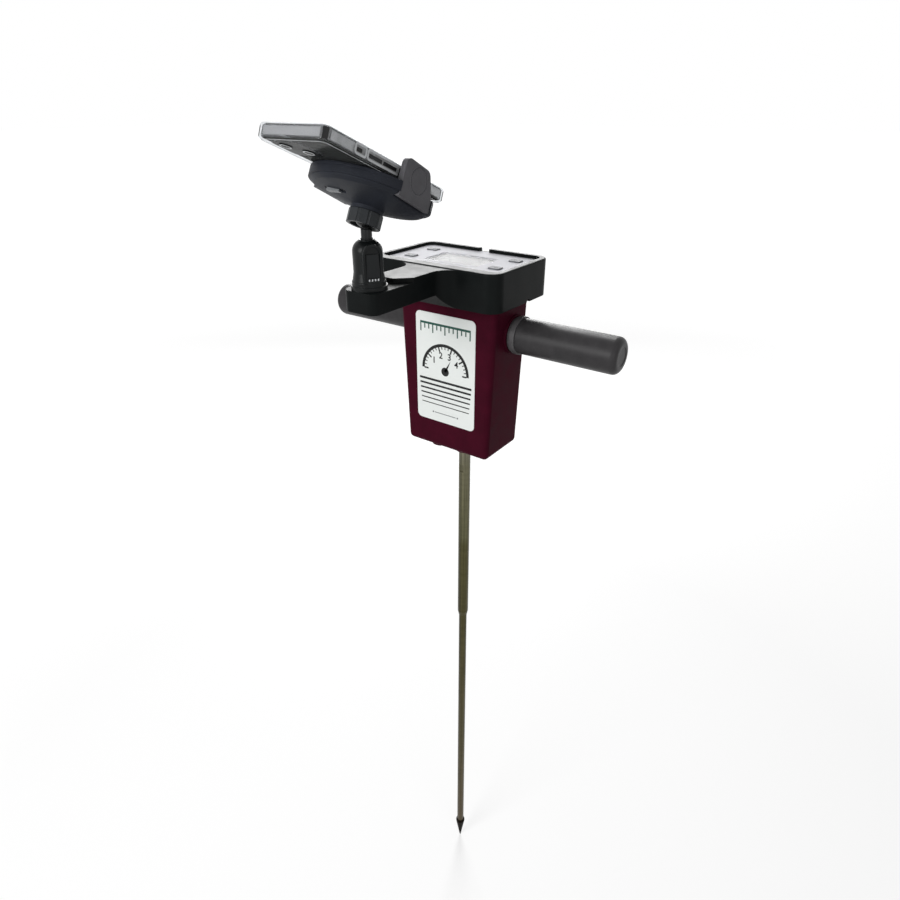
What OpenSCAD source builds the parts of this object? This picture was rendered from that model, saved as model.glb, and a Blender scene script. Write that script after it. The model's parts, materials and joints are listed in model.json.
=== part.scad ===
// Soil penetrometer with a phone arm. Two hands push the cone into the ground,
// a load cell in the housing feels the push and the display shows it.
// Millimetres, +Z up along the shaft, origin at the point of the cone,
// +X along the handle to the right, -Y the way the phone arm points.

/* [Probe] */
// flat left on the point of the cone
point_d = 1.6; // [0.6:0.1:3]
// width of the cone at its base
cone_base_d = 12.83; // [11:0.01:20]
// length of the cone from point to base
cone_len = 36; // [22:1:48]
// straight band above the cone base
cone_land = 2; // [0.5:0.1:5]
// slope from that band back to the shaft
cone_bevel = 2.5; // [0.5:0.1:5]
// thin shaft that goes into the soil
lower_d = 9.525; // [8:0.005:11]
// thick shaft above it
upper_d = 12.7; // [12:0.05:16]
// from the point to the step between the two shafts
probe_len = 457.2; // [350:0.1:600]
// from the step to the bottom of the housing
upper_len = 248; // [150:1:320]
// tapered end of the thick shaft at the step
step_taper = 5.5; // [1:0.5:10]
// threaded studs that join cone and shafts
stud_d = 6; // [4:0.1:7]
// how far each stud goes in
stud_len = 16; // [8:1:30]
// wrench flats on the thick shaft: length along it
flat_len = 9; // [5:0.5:15]
// how deep each wrench flat is cut
flat_cut = 1; // [0.4:0.1:1.6]
// from the bottom of the housing down to the flats
flat_drop = 32; // [20:1:60]

/* [Housing] */
// width across the bottom
house_wb = 98.5; // [84:0.5:106]
// width where it enters the head
house_wt = 110.5; // [100:0.5:118]
// depth, front to back
house_d = 60; // [54:0.5:68]
// from the bottom to the underside of the head
house_h = 162; // [140:1:200]
// how far the middle of the housing sits in front of the shaft
house_fore = 5.3; // [1:0.1:8]
// rounding of the upright and the bottom edges
house_r = 6; // [2:0.5:6.5]
// wall of the housing
house_wall = 2.6; // [1.8:0.1:4]
// floor of the housing
house_floor = 4; // [3:0.1:6]
// wall of the boss that guides the shaft
guide_wall = 2; // [1.5:0.1:5]
// how far that boss hangs below the floor
guide_drop = 15; // [4:0.5:22]
// wall of the bush pressed into the boss
bush_wall = 1.15; // [0.8:0.05:2]
// depth sensor can
sensor_d = 12; // [8:0.5:18]
// depth sensor: distance to the left of the shaft
sensor_x = 17; // [14:0.5:26]
// depth sensor: distance in front of the shaft
sensor_y = 21; // [14:0.5:23]
// how far the sensor looks out below the floor
sensor_out = 4; // [2.5:0.5:8]
// how far the rim round the sensor hangs below the floor
sensor_rim = 2.5; // [0.5:0.5:4]

/* [Label] */
// width of the front label
label_w = 69.6; // [50:0.2:80]
// height of the front label
label_h = 112; // [80:1:125]
// thickness of the front label
label_t = 0.5; // [0.3:0.1:1]
// rounding of the label corners
label_r = 5; // [2:0.5:9]
// from the housing bottom up to the label
label_up = 30; // [15:1:40]
// bars printed on the label, how many
bar_n = 6; // [3:1:8]
// longest bar
bar_w = 62.4; // [40:0.2:68]
// each bar is shorter than the one above by this
bar_less = 1; // [0:0.1:2]
// thickest bar
bar_t = 2.2; // [1:0.1:3]
// each bar is thinner than the one above by this
bar_thin = 0.28; // [0:0.01:0.3]
// from bar to bar
bar_step = 5.15; // [4:0.05:6]
// from the label bottom up to the lowest bar
bar_up = 18.5; // [10:0.5:30]

/* [Head] */
// width of the black top cover
cover_w = 140; // [128:1:156]
// cover reaches this far in front of the shaft
cover_fore = 60; // [52:0.5:75]
// cover reaches this far behind the shaft
cover_aft = 34.5; // [32:0.5:44]
// height of the cover
cover_h = 33.7; // [30:0.1:45]
// rounding of its upright corners
cover_r = 13; // [9:0.5:18]
// wall of the cover
cover_wall = 4; // [3:0.1:5.5]
// rounding of the outer rim edge
rim_r = 1.6; // [0.6:0.1:2.4]
// thickness of the rim over the panel
rim_t = 3.2; // [2:0.1:5]
// rim width at the sides and at the back
rim_side = 5.6; // [4.6:0.1:8]
// rim width at the front
rim_fore = 11; // [7:0.5:16]
// notch in the back of the rim
notch_w = 11.5; // [6:0.5:20]
// small notch in the lower edge of each side wall
slot_d = 5; // [2:0.5:8]
// that notch, in front of the shaft
slot_fore = 4; // [0:0.5:10]
// the housing bottom of the head sits this far inside the cover
head_up = 3; // [1:0.5:6]
// panel thickness
panel_t = 1.6; // [1:0.1:2.5]
// display opening: width
lcd_w = 60; // [40:1:66]
// display opening: depth
lcd_d = 36; // [24:1:40]
// display middle, in front of the shaft
lcd_fore = 10; // [6:0.5:16]
// buttons: width
key_w = 11.5; // [8:0.5:14]
// buttons: depth
key_d = 8.5; // [6:0.5:10]
// buttons: how far they stand up
key_up = 1.1; // [0.9:0.1:2]
// buttons: press travel
key_travel = 0.8; // [0.4:0.1:0.8]
// buttons: from the side of the cover in to their middle
key_in = 23; // [20:0.5:25]
// front buttons, in front of the shaft
key_fore = 25; // [20:0.5:32]
// back buttons, behind the shaft
key_aft = 10; // [6:0.5:14]

/* [Handle] */
// from the underside of the head down to the handle
grip_drop = 37; // [30:1:50]
// grip diameter
grip_d = 33.6; // [26:0.2:37]
// from the shaft to the end of a grip
grip_end = 162.5; // [130:0.5:200]
// rounding of the grip end
grip_round = 6; // [2:0.5:8]
// steel tube inside the grips
tube_d = 22; // [16:0.5:24]
// collar between housing and grip: diameter
collar_d = 36; // [34:0.5:46]
// collar thickness, its neck included
collar_t = 8; // [5:0.5:12]

/* [Arm] */
// width of the arm
arm_w = 33; // [30.5:0.5:45]
// arm reaches this far past the middle of the post
pad_reach = 14.5; // [14:0.5:24]
// thickness of the pad at its end
pad_t = 17; // [12:0.5:22]
// top of the pad below the rim
pad_drop = 4.7; // [2:0.1:8]
// top of the tongue below the rim
tongue_drop = 0.8; // [0:0.1:1.8]
// tongue ends this far in front of the shaft
tongue_fore = 113; // [90:0.5:118]
// how much is cut off each corner of the tongue end
tongue_cut = 12; // [4:0.5:15]
// rounding of the pad corners
pad_r = 7; // [2:0.5:14]
// sweep that joins the arm to the cover
sweep_r = 16; // [6:0.5:22]
// post in front of the shaft
post_fore = 136.5; // [133:0.5:150]
// post body diameter
post_d = 23.6; // [20:0.2:26]
// post foot diameter
post_foot_d = 29; // [26:0.5:30]
// height of the post
post_h = 38; // [32:0.5:50]
// turn of the post: which way its arched faces look
post_twist = -30; // [-90:1:90]

/* [Phone mount] */
// ball on the stem
ball_d = 17; // [14:0.5:19]
// stem below the ball
stem_d = 8.6; // [6:0.2:10]
// ball middle above the top of the post
ball_up = 16.5; // [15:0.5:24]
// lean of the cradle
cradle_lean = 26.4; // [10:0.1:30]
// cradle diameter
cradle_d = 94; // [86:1:110]
// clamp nut across
nut_d = 27; // [26:0.5:34]
// phone in its case: width
phone_w = 65.6; // [60:0.2:72]
// phone in its case: length
phone_l = 134; // [120:1:165]
// phone in its case: thickness
phone_t = 10.6; // [9:0.1:13]
// the phone sits this much flatter than the cradle
phone_lean = 4.4; // [2:0.1:6]
// middle of the phone toward its top end
phone_shift = 20; // [10:0.5:26]
// clear case wall
case_t = 1.6; // [1:0.1:2.2]
// jaws: width along the phone
jaw_w = 35; // [24:0.5:40]
// jaws: how far they open
jaw_travel = 10; // [4:0.5:14]

/* [Hidden] */
$fn = 96;
over = 1;
run_gap = 0.05;
part_gap = 0.3;
fit_gap = 0.1;
edge_ease = 0.06;
ring_share = 0.5;
bush_d = upper_d + 2 * bush_wall;
guide_d = bush_d + 2 * guide_wall;

tip_top = cone_len + cone_land + cone_bevel;
house_z = probe_len + upper_len;
head_z = house_z + house_h;
cover_z = head_z - head_up;
rim_z = cover_z + cover_h;
panel_top = rim_z - rim_t;
panel_z = panel_top - panel_t;
cover_d = cover_fore + cover_aft;
cover_y = (cover_aft - cover_fore) / 2;
key_x = cover_w / 2 - key_in;
head_w = cover_w - 2 * cover_wall - 2 * fit_gap;
head_d = cover_d - 2 * cover_wall - 2 * fit_gap;
head_r = cover_r - cover_wall - fit_gap;
head_wall = 2.4;
head_floor = 2.4;
front_y = -house_fore - house_d / 2;
back_y = -house_fore + house_d / 2;
grip_z = head_z - grip_drop;
lean = atan((house_wt - house_wb) / 2 / house_h);

// electronics under the panel
board_t = 1.6;
lcd_t = 6.4;
board_top = panel_z - lcd_t;
board_z = board_top - board_t;
board_room_x = 4.5;
board_room_y = 6.5;
board_w = head_w - 2 * head_wall - 2 * board_room_x;
board_d = head_d - 2 * head_wall - 2 * board_room_y;
standoff_in = 4.5;
post_pitch_x = board_w - 2 * standoff_in;
post_pitch_y = board_d - 2 * standoff_in;
standoff_d = 6;
lcd_frame = 3;
flange = 1;
flange_t = 1.2;
dome_d = 6;
key_r = 1.6;
key_hole = 0.35;
key_leg = 1.2;

// load path inside the housing
clamp_w = 40;
clamp_d = 34;
clamp_h = 46;
cell_w = 28;
cell_d = 25;
cell_slot = 3;
cell_cut_share = 0.72;
cell_top = grip_z - clamp_h / 2;
cell_room = 2;
boss_seat = 1.2;
boss_ring = 0.75;
boss_d = collar_d + 2 * boss_ring;
seat_x = house_wt / 2 + boss_seat;
tube_wall = 2.5;
grip_plug = 8;
tube_end = grip_end - grip_plug;
grip_x = seat_x + collar_t;
collar_step = 1.6;
collar_neck = 3;
dish_d = 17;
dish_t = 0.4;

// batteries behind the shaft
cell_dia = 10.5;
cell_len = 44.5;
holder_w = 27;
holder_h = 48;
holder_up = 10;
holder_wall = 1.4;
holder_room = 1;
holder_y = upper_d / 2 + holder_room;
door_w = 33;
door_h = 58;
door_t = 1.4;
door_lap = 2;
door_r = 2;
screw_d = 3;
door_z = house_z + holder_up + door_h / 2;
door_hold = door_h / 2 + screw_d;
plug_t = 1;
cell_z = house_z + holder_up + door_lap + holder_h + cell_room;
cell_h = cell_top - cell_z;
shaft_top = cell_z;
screw_head_d = 5.6;
screw_head_t = 1.8;
screw_len = 8;
drive_w = 0.8;
drive_t = 0.9;

// arm and post
pad_top = rim_z - pad_drop;
pad_z = pad_top - pad_t;
tongue_top = rim_z - tongue_drop;
arm_fore = post_fore + pad_reach;
post_y = -post_fore;
post_top = pad_top + post_h;
foot_t = 3.4;
tier_t = 3;
tier_in = 1;
tier_d = post_foot_d - 2 * tier_in;
flare_h = 7;
dome_h = 9;
neck_ring = 2;
neck_ring_d = stem_d + 2 * neck_ring;
arch_w = 15.6;
arch_out = 0.7;
arch_z = pad_top + foot_t + tier_t;
arch_drop = 2;
arch_h = post_h - foot_t - tier_t - arch_drop;
arch_wall = 2;
insert_in = 1.6;
insert_taper = 0.8;
insert_up = 2;
insert_t = 1.2;
tick_n = 4;
tick_w = 1.1;
tick_h = 1.6;
tick_pitch = 2.4;
bolt_d = 4;
bolt_head_d = 8;
bolt_head_t = 3.6;
bolt_in = 12;

// ball and cradle, in a frame with its middle in the ball
ball_z = post_top + ball_up;
ball_r = ball_d / 2;
ball_gap = 0.3;
stem_neck_share = 0.76;
stem_neck_d = stem_d * stem_neck_share;
stem_in = 18;
stem_lip = 0.5;
nut_lo = 7.5;
nut_hi = 2.6;
nut_sides = 10;
nut_groove = 1.1;
nut_bore_d = 20.6;
lip_ang = 66;
lip_z = ball_r * cos(lip_ang);
lip_r = (ball_r + ball_gap) * sin(lip_ang);
nut_lip = 2.5;
nut_mouth_d = nut_d - 2 * nut_lip;
thread_d = nut_bore_d - 2 * part_gap;
thread_lo = 1;
neck_d = 25;
neck_z = nut_hi + part_gap;
neck_h = 2.6;
cone_z = neck_z + neck_h;
rim_lo = 15;
rim_hi = 20;
face_t = 2;
face_z = rim_hi + face_t;
cradle_r = cradle_d / 2;
rim_in = 1.6;
rim_step = 0.8;
belly_in = 5;
belly_r = cradle_r - belly_in;
belly_z = 12;
cavity_in = 3;
cavity_r = cradle_r - cavity_in;
jaw_in = phone_w / 2 + run_gap;
pad_soft = 4.8;
jaw_t = 4.4;
jaw_lo = 12.4;
jaw_hi = 39.5;
knee_drop = 1;
jaw_knee = face_z - knee_drop;
jaw_cut = 9;
jaw_fore = jaw_w / 2;
jaw_more = 1.5;
jaw_aft = jaw_w / 2 + jaw_more;
jaw_r = 6;
jaw_nose_r = 5;
pad_in = 4;
soft_r = 2.5;
bay_gap = 0.5;
bay_room = 1;
bay_x = jaw_in + pad_soft - bay_room;
ring_mark_r = 9.4;
ring_mark_w = 0.7;
ring_mark_t = 0.5;
ring_mark_z = 28.6;
rack_w = 5;
rack_t = 4;
rack_z = 14.2;
pinion_r = 4.2;
pinion_teeth = 3;
pinion_pin_d = 3;
rack_y = pinion_r + part_gap;
rack_spare = 4;
rack_back = jaw_travel + rack_spare;
tab_l = 12.4;
tab_w = 4;
tab_z = 7.7;
tab_h = 6.4;
tab_x = -11;
tab_y = -26;
tab_travel = 2.5;
screw_ring = 26.4;
screw_turns = [266, 86];
small_head_d = 4.4;
small_head_t = 1.6;
small_sink = 0.8;
face_bite = 0.8;
foot_hole_d = 5;
foot_hole_x = 16;
foot_hole_y = 42;
foot_hole_t = 6;
grip_soft_r = 30;
soft_in_r = 22;

// phone frame: middle of its screen
phone_z = face_z + run_gap + phone_t / cos(phone_lean)
    + (cradle_r - phone_shift) * tan(phone_lean);
phone_r = 6.5;
case_edge = 2;
body_edge = 1.2;
body_w = phone_w - 2 * case_t;
body_l = phone_l - 2 * case_t;
body_r = phone_r - case_t;
lip_t = 0.8;
body_t = phone_t - case_t - lip_t;
lip_in = 1.2;
glass_t = 0.5;
glass_in = 1.4;
isle_w = 27;
isle_l = 28;
isle_t = 1.4;
isle_r = 6;
isle_in = 5;
lens_d = 9;
lens_t = 0.5;
mute_y = -34;
mute_l = 9;
vol_y = -10;
vol_l = 32;
cut_w = 4.6;
keys_out = 0.6;
key_rest = 2;

// shapes used by several pieces

module rrect(w, d, r) {
    square([w - 2 * r, d], center = true);
    square([w, d - 2 * r], center = true);
    for (sx = [-1, 1], sy = [-1, 1])
        translate([sx * (w / 2 - r), sy * (d / 2 - r)])
            circle(r = r);
}

// rounded slab whose upper outer edge is rounded as well
module soft_slab(w, d, h, r, e) {
    linear_extrude(h - e)
        rrect(w, d, r);
    linear_extrude(h)
        rrect(w - 2 * e, d - 2 * e, r - e);
    for (sx = [-1, 1], sy = [-1, 1])
        translate([sx * (w / 2 - r), sy * (d / 2 - r), h - e])
            rotate_extrude()
                translate([r - e, 0])
                    circle(r = e);
    for (s = [-1, 1]) {
        translate([s * (w / 2 - e), d / 2 - r, h - e])
            rotate([90, 0, 0])
                cylinder(r = e, h = d - 2 * r);
        translate([r - w / 2, s * (d / 2 - e), h - e])
            rotate([0, 90, 0])
                cylinder(r = e, h = w - 2 * r);
    }
}

// slab with both outer edges rounded
module pillow_slab(w, d, h, r, e) {
    translate([0, 0, h / 2])
        for (s = [0, 1])
            mirror([0, 0, s])
                soft_slab(w, d, h / 2, r, e);
}

// upright wedge that is wider at the top
module taper_prism(wb, wt, d, h) {
    translate([0, d / 2, 0])
        rotate([90, 0, 0])
            linear_extrude(d)
                polygon([[-wb / 2, 0], [wb / 2, 0], [wt / 2, h], [-wt / 2, h]]);
}

// the same with rounded upright edges
module taper_round(wb, wt, d, h, r) {
    k = r / cos(lean);
    intersection() {
        union() {
            taper_prism(wb - 2 * k, wt - 2 * k, d, h);
            taper_prism(wb, wt, d - 2 * r, h);
            for (sx = [-1, 1], sy = [-1, 1])
                translate([sx * (wb / 2 - k), sy * (d / 2 - r), 0])
                    rotate([0, sx * lean, 0])
                        translate([0, 0, -h])
                            cylinder(r = r + edge_ease, h = 3 * h);
        }
        translate([-wt, -d, 0])
            cube([2 * wt, 2 * d, h]);
    }
}

// rounds the bottom edges of the housing
module taper_foot(wb, wt, d, h, e) {
    xc = wb / 2 + e * tan(lean) - e / cos(lean);
    xs = xc + e * cos(lean);
    zs = e - e * sin(lean);
    intersection() {
        translate([0, d, 0])
            rotate([90, 0, 0])
                linear_extrude(2 * d)
                    union() {
                        polygon([[-xc, 0], [xc, 0], [xs, zs], [wt / 2, h],
                            [-wt / 2, h], [-xs, zs]]);
                        for (sx = [-1, 1])
                            translate([sx * xc, e])
                                circle(r = e);
                    }
        translate([-wt, 0, 0])
            rotate([90, 0, 90])
                linear_extrude(2 * wt)
                    union() {
                        translate([-d / 2, e])
                            square([d, h - e]);
                        translate([e - d / 2, 0])
                            square([d - 2 * e, h]);
                        for (sy = [-1, 1])
                            translate([sy * (d / 2 - e), e])
                                circle(r = e);
                    }
    }
}

// what is cut off the four bottom corners to leave a ball there
module taper_corners(wb, d, e) {
    xc = wb / 2 + e * tan(lean) - e / cos(lean);
    for (sx = [0, 1], sy = [0, 1])
        mirror([sx, 0, 0])
            mirror([0, sy, 0])
                translate([xc, d / 2 - e, e])
                    difference() {
                        translate([0, 0, -2 * e])
                            cube([2 * e, 2 * e, 2 * e]);
                        sphere(r = e + 2 * edge_ease);
                    }
}

// turned piece lying along +X
module along_x() {
    rotate([0, 90, 0])
        children();
}

// pan head screw, head up at z = 0 and shank below
module pan_screw() {
    difference() {
        cylinder(d = screw_head_d, h = screw_head_t);
        translate([-screw_head_d, -drive_w / 2, screw_head_t - drive_t])
            cube([2 * screw_head_d, drive_w, drive_t + over]);
    }
    translate([0, 0, -screw_len])
        cylinder(d = screw_d, h = screw_len);
}

module on_cradle() {
    translate([0, post_y, ball_z])
        rotate([-cradle_lean, 0, 0])
            children();
}

module on_phone() {
    on_cradle()
        translate([0, -phone_shift, phone_z])
            rotate([phone_lean, 0, 0])
                children();
}

// probe

module cone_tip() {
    color("dimgray")
    rotate_extrude()
        polygon([[0, 0], [point_d / 2, 0], [cone_base_d / 2, cone_len],
            [cone_base_d / 2, cone_len + cone_land], [lower_d / 2, tip_top],
            [stud_d / 2, tip_top], [stud_d / 2, tip_top + stud_len],
            [0, tip_top + stud_len]]);
}

module lower_shaft() {
    color("darkgray")
    difference() {
        union() {
            translate([0, 0, tip_top])
                cylinder(d = lower_d, h = probe_len - tip_top);
            translate([0, 0, probe_len])
                cylinder(d = stud_d, h = stud_len);
        }
        translate([0, 0, tip_top - over])
            cylinder(d = stud_d + 2 * run_gap, h = stud_len + 2 * over);
    }
}

module upper_shaft() {
    low_d = lower_d + 2 * flat_cut * ring_share;
    color("silver")
    difference() {
        union() {
            translate([0, 0, probe_len])
                cylinder(d1 = low_d, d2 = upper_d, h = step_taper);
            translate([0, 0, probe_len + step_taper])
                cylinder(d = upper_d, h = shaft_top - probe_len - step_taper);
        }
        translate([0, 0, probe_len - over])
            cylinder(d = stud_d + 2 * run_gap, h = stud_len + 2 * over);
        for (s = [0, 1])
            rotate([0, 0, 180 * s])
                translate([-upper_d, upper_d / 2 - flat_cut,
                    house_z - flat_drop - flat_len])
                    cube([2 * upper_d, upper_d, flat_len]);
    }
}

module shaft_bush() {
    color("gray")
    translate([0, 0, house_z - guide_drop])
        difference() {
            cylinder(d = bush_d, h = guide_drop + house_floor);
            translate([0, 0, -over])
                cylinder(d = upper_d + 2 * run_gap,
                    h = guide_drop + house_floor + 2 * over);
        }
}

module load_cell() {
    cut = cell_w * cell_cut_share;
    color("silver")
    translate([0, 0, cell_z])
        difference() {
            translate([-cell_w / 2, -cell_d / 2, 0])
                cube([cell_w, cell_d, cell_h]);
            for (s = [0, 1])
                rotate([0, 0, 180 * s])
                    translate([cell_w / 2 - cut, -cell_d,
                        cell_h / 4 + s * (cell_h / 2 - cell_slot)])
                        cube([cell_w, 2 * cell_d, cell_slot]);
        }
}

module tube_clamp() {
    color("darkgray")
    difference() {
        translate([-clamp_w / 2, -clamp_d / 2, cell_top])
            cube([clamp_w, clamp_d, clamp_h]);
        translate([-clamp_w, 0, grip_z])
            along_x()
                cylinder(d = tube_d + 2 * run_gap, h = 2 * clamp_w);
    }
}

// housing

module house_outer() {
    translate([0, -house_fore, house_z])
        difference() {
            intersection() {
                taper_round(house_wb, house_wt, house_d, house_h, house_r);
                taper_foot(house_wb, house_wt, house_d, house_h, house_r);
            }
            taper_corners(house_wb, house_d, house_r);
        }
}

module house_hollow() {
    rise = house_floor * tan(lean);
    translate([0, -house_fore, house_z + house_floor])
        taper_prism(house_wb - 2 * house_wall + 2 * rise,
            house_wt - 2 * house_wall, house_d - 2 * house_wall,
            house_h - house_floor + over);
}

module housing_shell() {
    color("#4a1526")
    difference() {
        union() {
            difference() {
                union() {
                    house_outer();
                    for (s = [-1, 1])
                        translate([min(0, s * seat_x), 0, grip_z])
                            along_x()
                                cylinder(d = boss_d, h = seat_x);
                }
                house_hollow();
            }
            translate([0, 0, house_z - guide_drop])
                cylinder(d = guide_d, h = guide_drop + house_floor);
            translate([-sensor_x, -sensor_y, house_z - sensor_rim])
                cylinder(d = sensor_d + 2 * house_wall, h = sensor_rim + house_floor);
        }
        translate([0, 0, house_z - guide_drop - over])
            cylinder(d = bush_d, h = guide_drop + house_floor + 2 * over);
        translate([-sensor_x, -sensor_y, house_z - sensor_rim - over])
            cylinder(d = sensor_d + 2 * run_gap, h = sensor_rim + house_floor + 2 * over);
        translate([-seat_x - over, 0, grip_z])
            along_x()
                cylinder(d = tube_d + 2 * run_gap, h = 2 * seat_x + 2 * over);
        translate([-door_w / 2, back_y - house_wall - over, house_z + holder_up])
            cube([door_w, house_wall + 2 * over, door_h]);
        for (s = [-1, 1])
            translate([0, back_y + over, door_z + s * door_hold])
                rotate([90, 0, 0])
                    cylinder(d = screw_d, h = house_wall + 2 * over);
    }
}

// tray on top of the housing that carries the board, the panel and the cover
module head_tray() {
    color("#1c1d1f")
    difference() {
        union() {
            difference() {
                translate([0, cover_y, head_z])
                    linear_extrude(panel_z - head_z)
                        rrect(head_w, head_d, head_r);
                translate([0, cover_y, head_z + head_floor])
                    linear_extrude(panel_z)
                        rrect(head_w - 2 * head_wall, head_d - 2 * head_wall,
                            head_r - head_wall);
            }
            for (sx = [-1, 1], sy = [-1, 1])
                translate([sx * post_pitch_x / 2, cover_y + sy * post_pitch_y / 2,
                    head_z])
                    cylinder(d = standoff_d, h = board_z - head_z);
        }
        translate([0, -house_fore, head_z - over])
            linear_extrude(head_floor + 2 * over)
                rrect(house_wb * ring_share, house_d * ring_share, house_r);
        for (s = [-1, 1])
            translate([s * cover_w / 4, cover_aft, rim_z - cover_h / 2])
                rotate([90, 0, 0])
                    cylinder(d = screw_d, h = screw_len + cover_wall);
    }
}

module front_label() {
    color("#e6e8e4")
    translate([0, front_y, house_z + label_up + label_h / 2])
        rotate([90, 0, 0])
            linear_extrude(label_t)
                rrect(label_w, label_h, label_r);
}

module label_bars() {
    color("#161616")
    for (i = [0:bar_n - 1])
        translate([0, front_y - label_t,
            house_z + label_up + bar_up + (bar_n - 1 - i) * bar_step])
            rotate([90, 0, 0])
                linear_extrude(label_t * ring_share)
                    square([bar_w - i * bar_less, bar_t - i * bar_thin], center = true);
}

module depth_sensor() {
    color("#202224")
    translate([-sensor_x, -sensor_y, house_z - sensor_out]) {
        difference() {
            cylinder(d = sensor_d, h = sensor_out + house_floor + sensor_d / 2);
            translate([0, 0, -over])
                cylinder(d = sensor_d - house_wall, h = over + flange_t);
        }
        translate([0, 0, sensor_out + house_floor])
            cylinder(d = sensor_d + 2 * flange, h = flange_t);
    }
}

module battery_holder() {
    color("#1a1a1a")
    translate([-holder_w / 2, holder_y, house_z + holder_up + door_lap])
        difference() {
            cube([holder_w, back_y - plug_t - holder_y, holder_h]);
            translate([holder_wall, holder_wall, holder_wall])
                cube([holder_w - 2 * holder_wall, house_d, holder_h - 2 * holder_wall]);
        }
}

module battery_cells() {
    color("#5d6b3c")
    for (s = [-1, 1])
        translate([s * (cell_dia / 2 + holder_wall / 2),
            holder_y + holder_wall + cell_dia / 2,
            house_z + holder_up + door_lap + holder_wall]) {
            cylinder(d = cell_dia, h = cell_len);
            cylinder(d = cell_dia * ring_share, h = holder_h - 2 * holder_wall);
        }
}

module battery_door() {
    color("#45131f")
    difference() {
        union() {
            translate([-door_w / 2 + fit_gap, back_y - plug_t,
                house_z + holder_up + fit_gap])
                cube([door_w - 2 * fit_gap, plug_t, door_h - 2 * fit_gap]);
            translate([0, back_y + door_t, door_z])
                rotate([90, 0, 0])
                    linear_extrude(door_t)
                        rrect(door_w + 2 * door_lap,
                            door_h + 4 * screw_d + 2 * door_lap, door_r);
        }
        for (s = [-1, 1])
            translate([0, back_y + door_t + over, door_z + s * door_hold])
                rotate([90, 0, 0])
                    cylinder(d = screw_d, h = door_t + 2 * over);
    }
}

module door_screws() {
    color("silver")
    for (s = [-1, 1])
        translate([0, back_y + door_t, door_z + s * door_hold])
            rotate([-90, 0, 0])
                pan_screw();
}

// head

// plan of the arm with the sweeps that join it to the cover
module arm_plan(fore, r) {
    translate([-arm_w / 2, -fore + r])
        square([arm_w, fore - cover_fore - r + cover_wall]);
    translate([-arm_w / 2 + r, -fore])
        square([arm_w - 2 * r, 2 * r]);
    for (s = [-1, 1])
        translate([s * (arm_w / 2 - r), -fore + r])
            circle(r = r);
    arm_sweeps();
}

module arm_sweeps() {
    for (s = [-1, 1])
        difference() {
            translate([s * (arm_w / 2 + sweep_r / 2), -cover_fore - sweep_r / 2 + cover_wall / 2])
                square([sweep_r, sweep_r + cover_wall], center = true);
            translate([s * (arm_w / 2 + sweep_r), -cover_fore - sweep_r])
                circle(r = sweep_r);
        }
}

// plan of the raised tongue, which has its two corners cut off
module tongue_plan() {
    w = arm_w / 2;
    polygon([[-w, cover_wall - cover_fore], [-w, tongue_cut - tongue_fore],
        [tongue_cut - w, -tongue_fore], [w - tongue_cut, -tongue_fore],
        [w, tongue_cut - tongue_fore], [w, cover_wall - cover_fore]]);
    arm_sweeps();
}

// the arm is braced at 45 degrees under the root
module arm_side() {
    brace = pad_z - cover_z;
    rotate([90, 0, 90])
        translate([0, 0, -cover_w / 2])
            linear_extrude(cover_w)
                polygon([[-cover_fore + cover_wall, cover_z], [-cover_fore, cover_z],
                    [-cover_fore - brace, pad_z], [-arm_fore - over, pad_z],
                    [-arm_fore - over, rim_z], [-cover_fore + cover_wall, rim_z]]);
}

module top_cover() {
    open_d = cover_d - rim_fore - rim_side;
    open_w = cover_w - 2 * rim_side;
    color("#1a1c1d")
    difference() {
        union() {
            translate([0, cover_y, cover_z])
                soft_slab(cover_w, cover_d, cover_h, cover_r, rim_r);
            intersection() {
                union() {
                    translate([0, 0, cover_z])
                        linear_extrude(pad_top - cover_z)
                            arm_plan(arm_fore, pad_r);
                    translate([0, 0, cover_z])
                        linear_extrude(tongue_top - cover_z)
                            tongue_plan();
                }
                arm_side();
            }
        }
        translate([0, cover_y, cover_z - over])
            linear_extrude(panel_top - cover_z + over)
                rrect(cover_w - 2 * cover_wall, cover_d - 2 * cover_wall,
                    cover_r - cover_wall);
        translate([0, (rim_fore - rim_side) / 2 + cover_y, cover_z])
            linear_extrude(cover_h + over)
                rrect(open_w, open_d, cover_r - rim_side);
        translate([-notch_w / 2, cover_aft - rim_side - over, panel_top])
            cube([notch_w, rim_side + 2 * over, rim_t + over]);
        translate([-cover_w, -slot_fore, cover_z])
            along_x()
                cylinder(d = slot_d, h = 2 * cover_w);
        for (s = [-1, 1])
            translate([s * cover_w / 4, cover_aft + over, rim_z - cover_h / 2])
                rotate([90, 0, 0])
                    cylinder(d = screw_d, h = cover_wall + 2 * over);
        translate([0, post_y, pad_z - over]) {
            cylinder(d = bolt_d, h = pad_t + 2 * over);
            cylinder(d = bolt_head_d + 2 * part_gap, h = bolt_head_t + over);
        }
    }
}

module cover_screws() {
    color("silver")
    for (s = [-1, 1])
        translate([s * cover_w / 4, cover_aft, rim_z - cover_h / 2])
            rotate([-90, 0, 0])
                pan_screw();
}

module key_place(sx, y) {
    translate([sx * key_x, y, 0])
        children();
}

module display_panel() {
    color("#e2e2e4")
    difference() {
        translate([0, cover_y, panel_z])
            linear_extrude(panel_t)
                rrect(head_w, head_d, head_r);
        translate([0, -lcd_fore, panel_z - over])
            linear_extrude(panel_t + 2 * over)
                rrect(lcd_w, lcd_d, key_r);
        for (sx = [-1, 1], y = [-key_fore, key_aft])
            key_place(sx, y)
                translate([0, 0, panel_z - over])
                    linear_extrude(panel_t + 2 * over)
                        rrect(key_w + 2 * key_hole, key_d + 2 * key_hole, key_r);
    }
}

module lcd_window() {
    color("#b9bcbb")
    translate([0, -lcd_fore, panel_z])
        linear_extrude(panel_t - part_gap)
            rrect(lcd_w - 2 * fit_gap, lcd_d - 2 * fit_gap, key_r);
}

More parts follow.
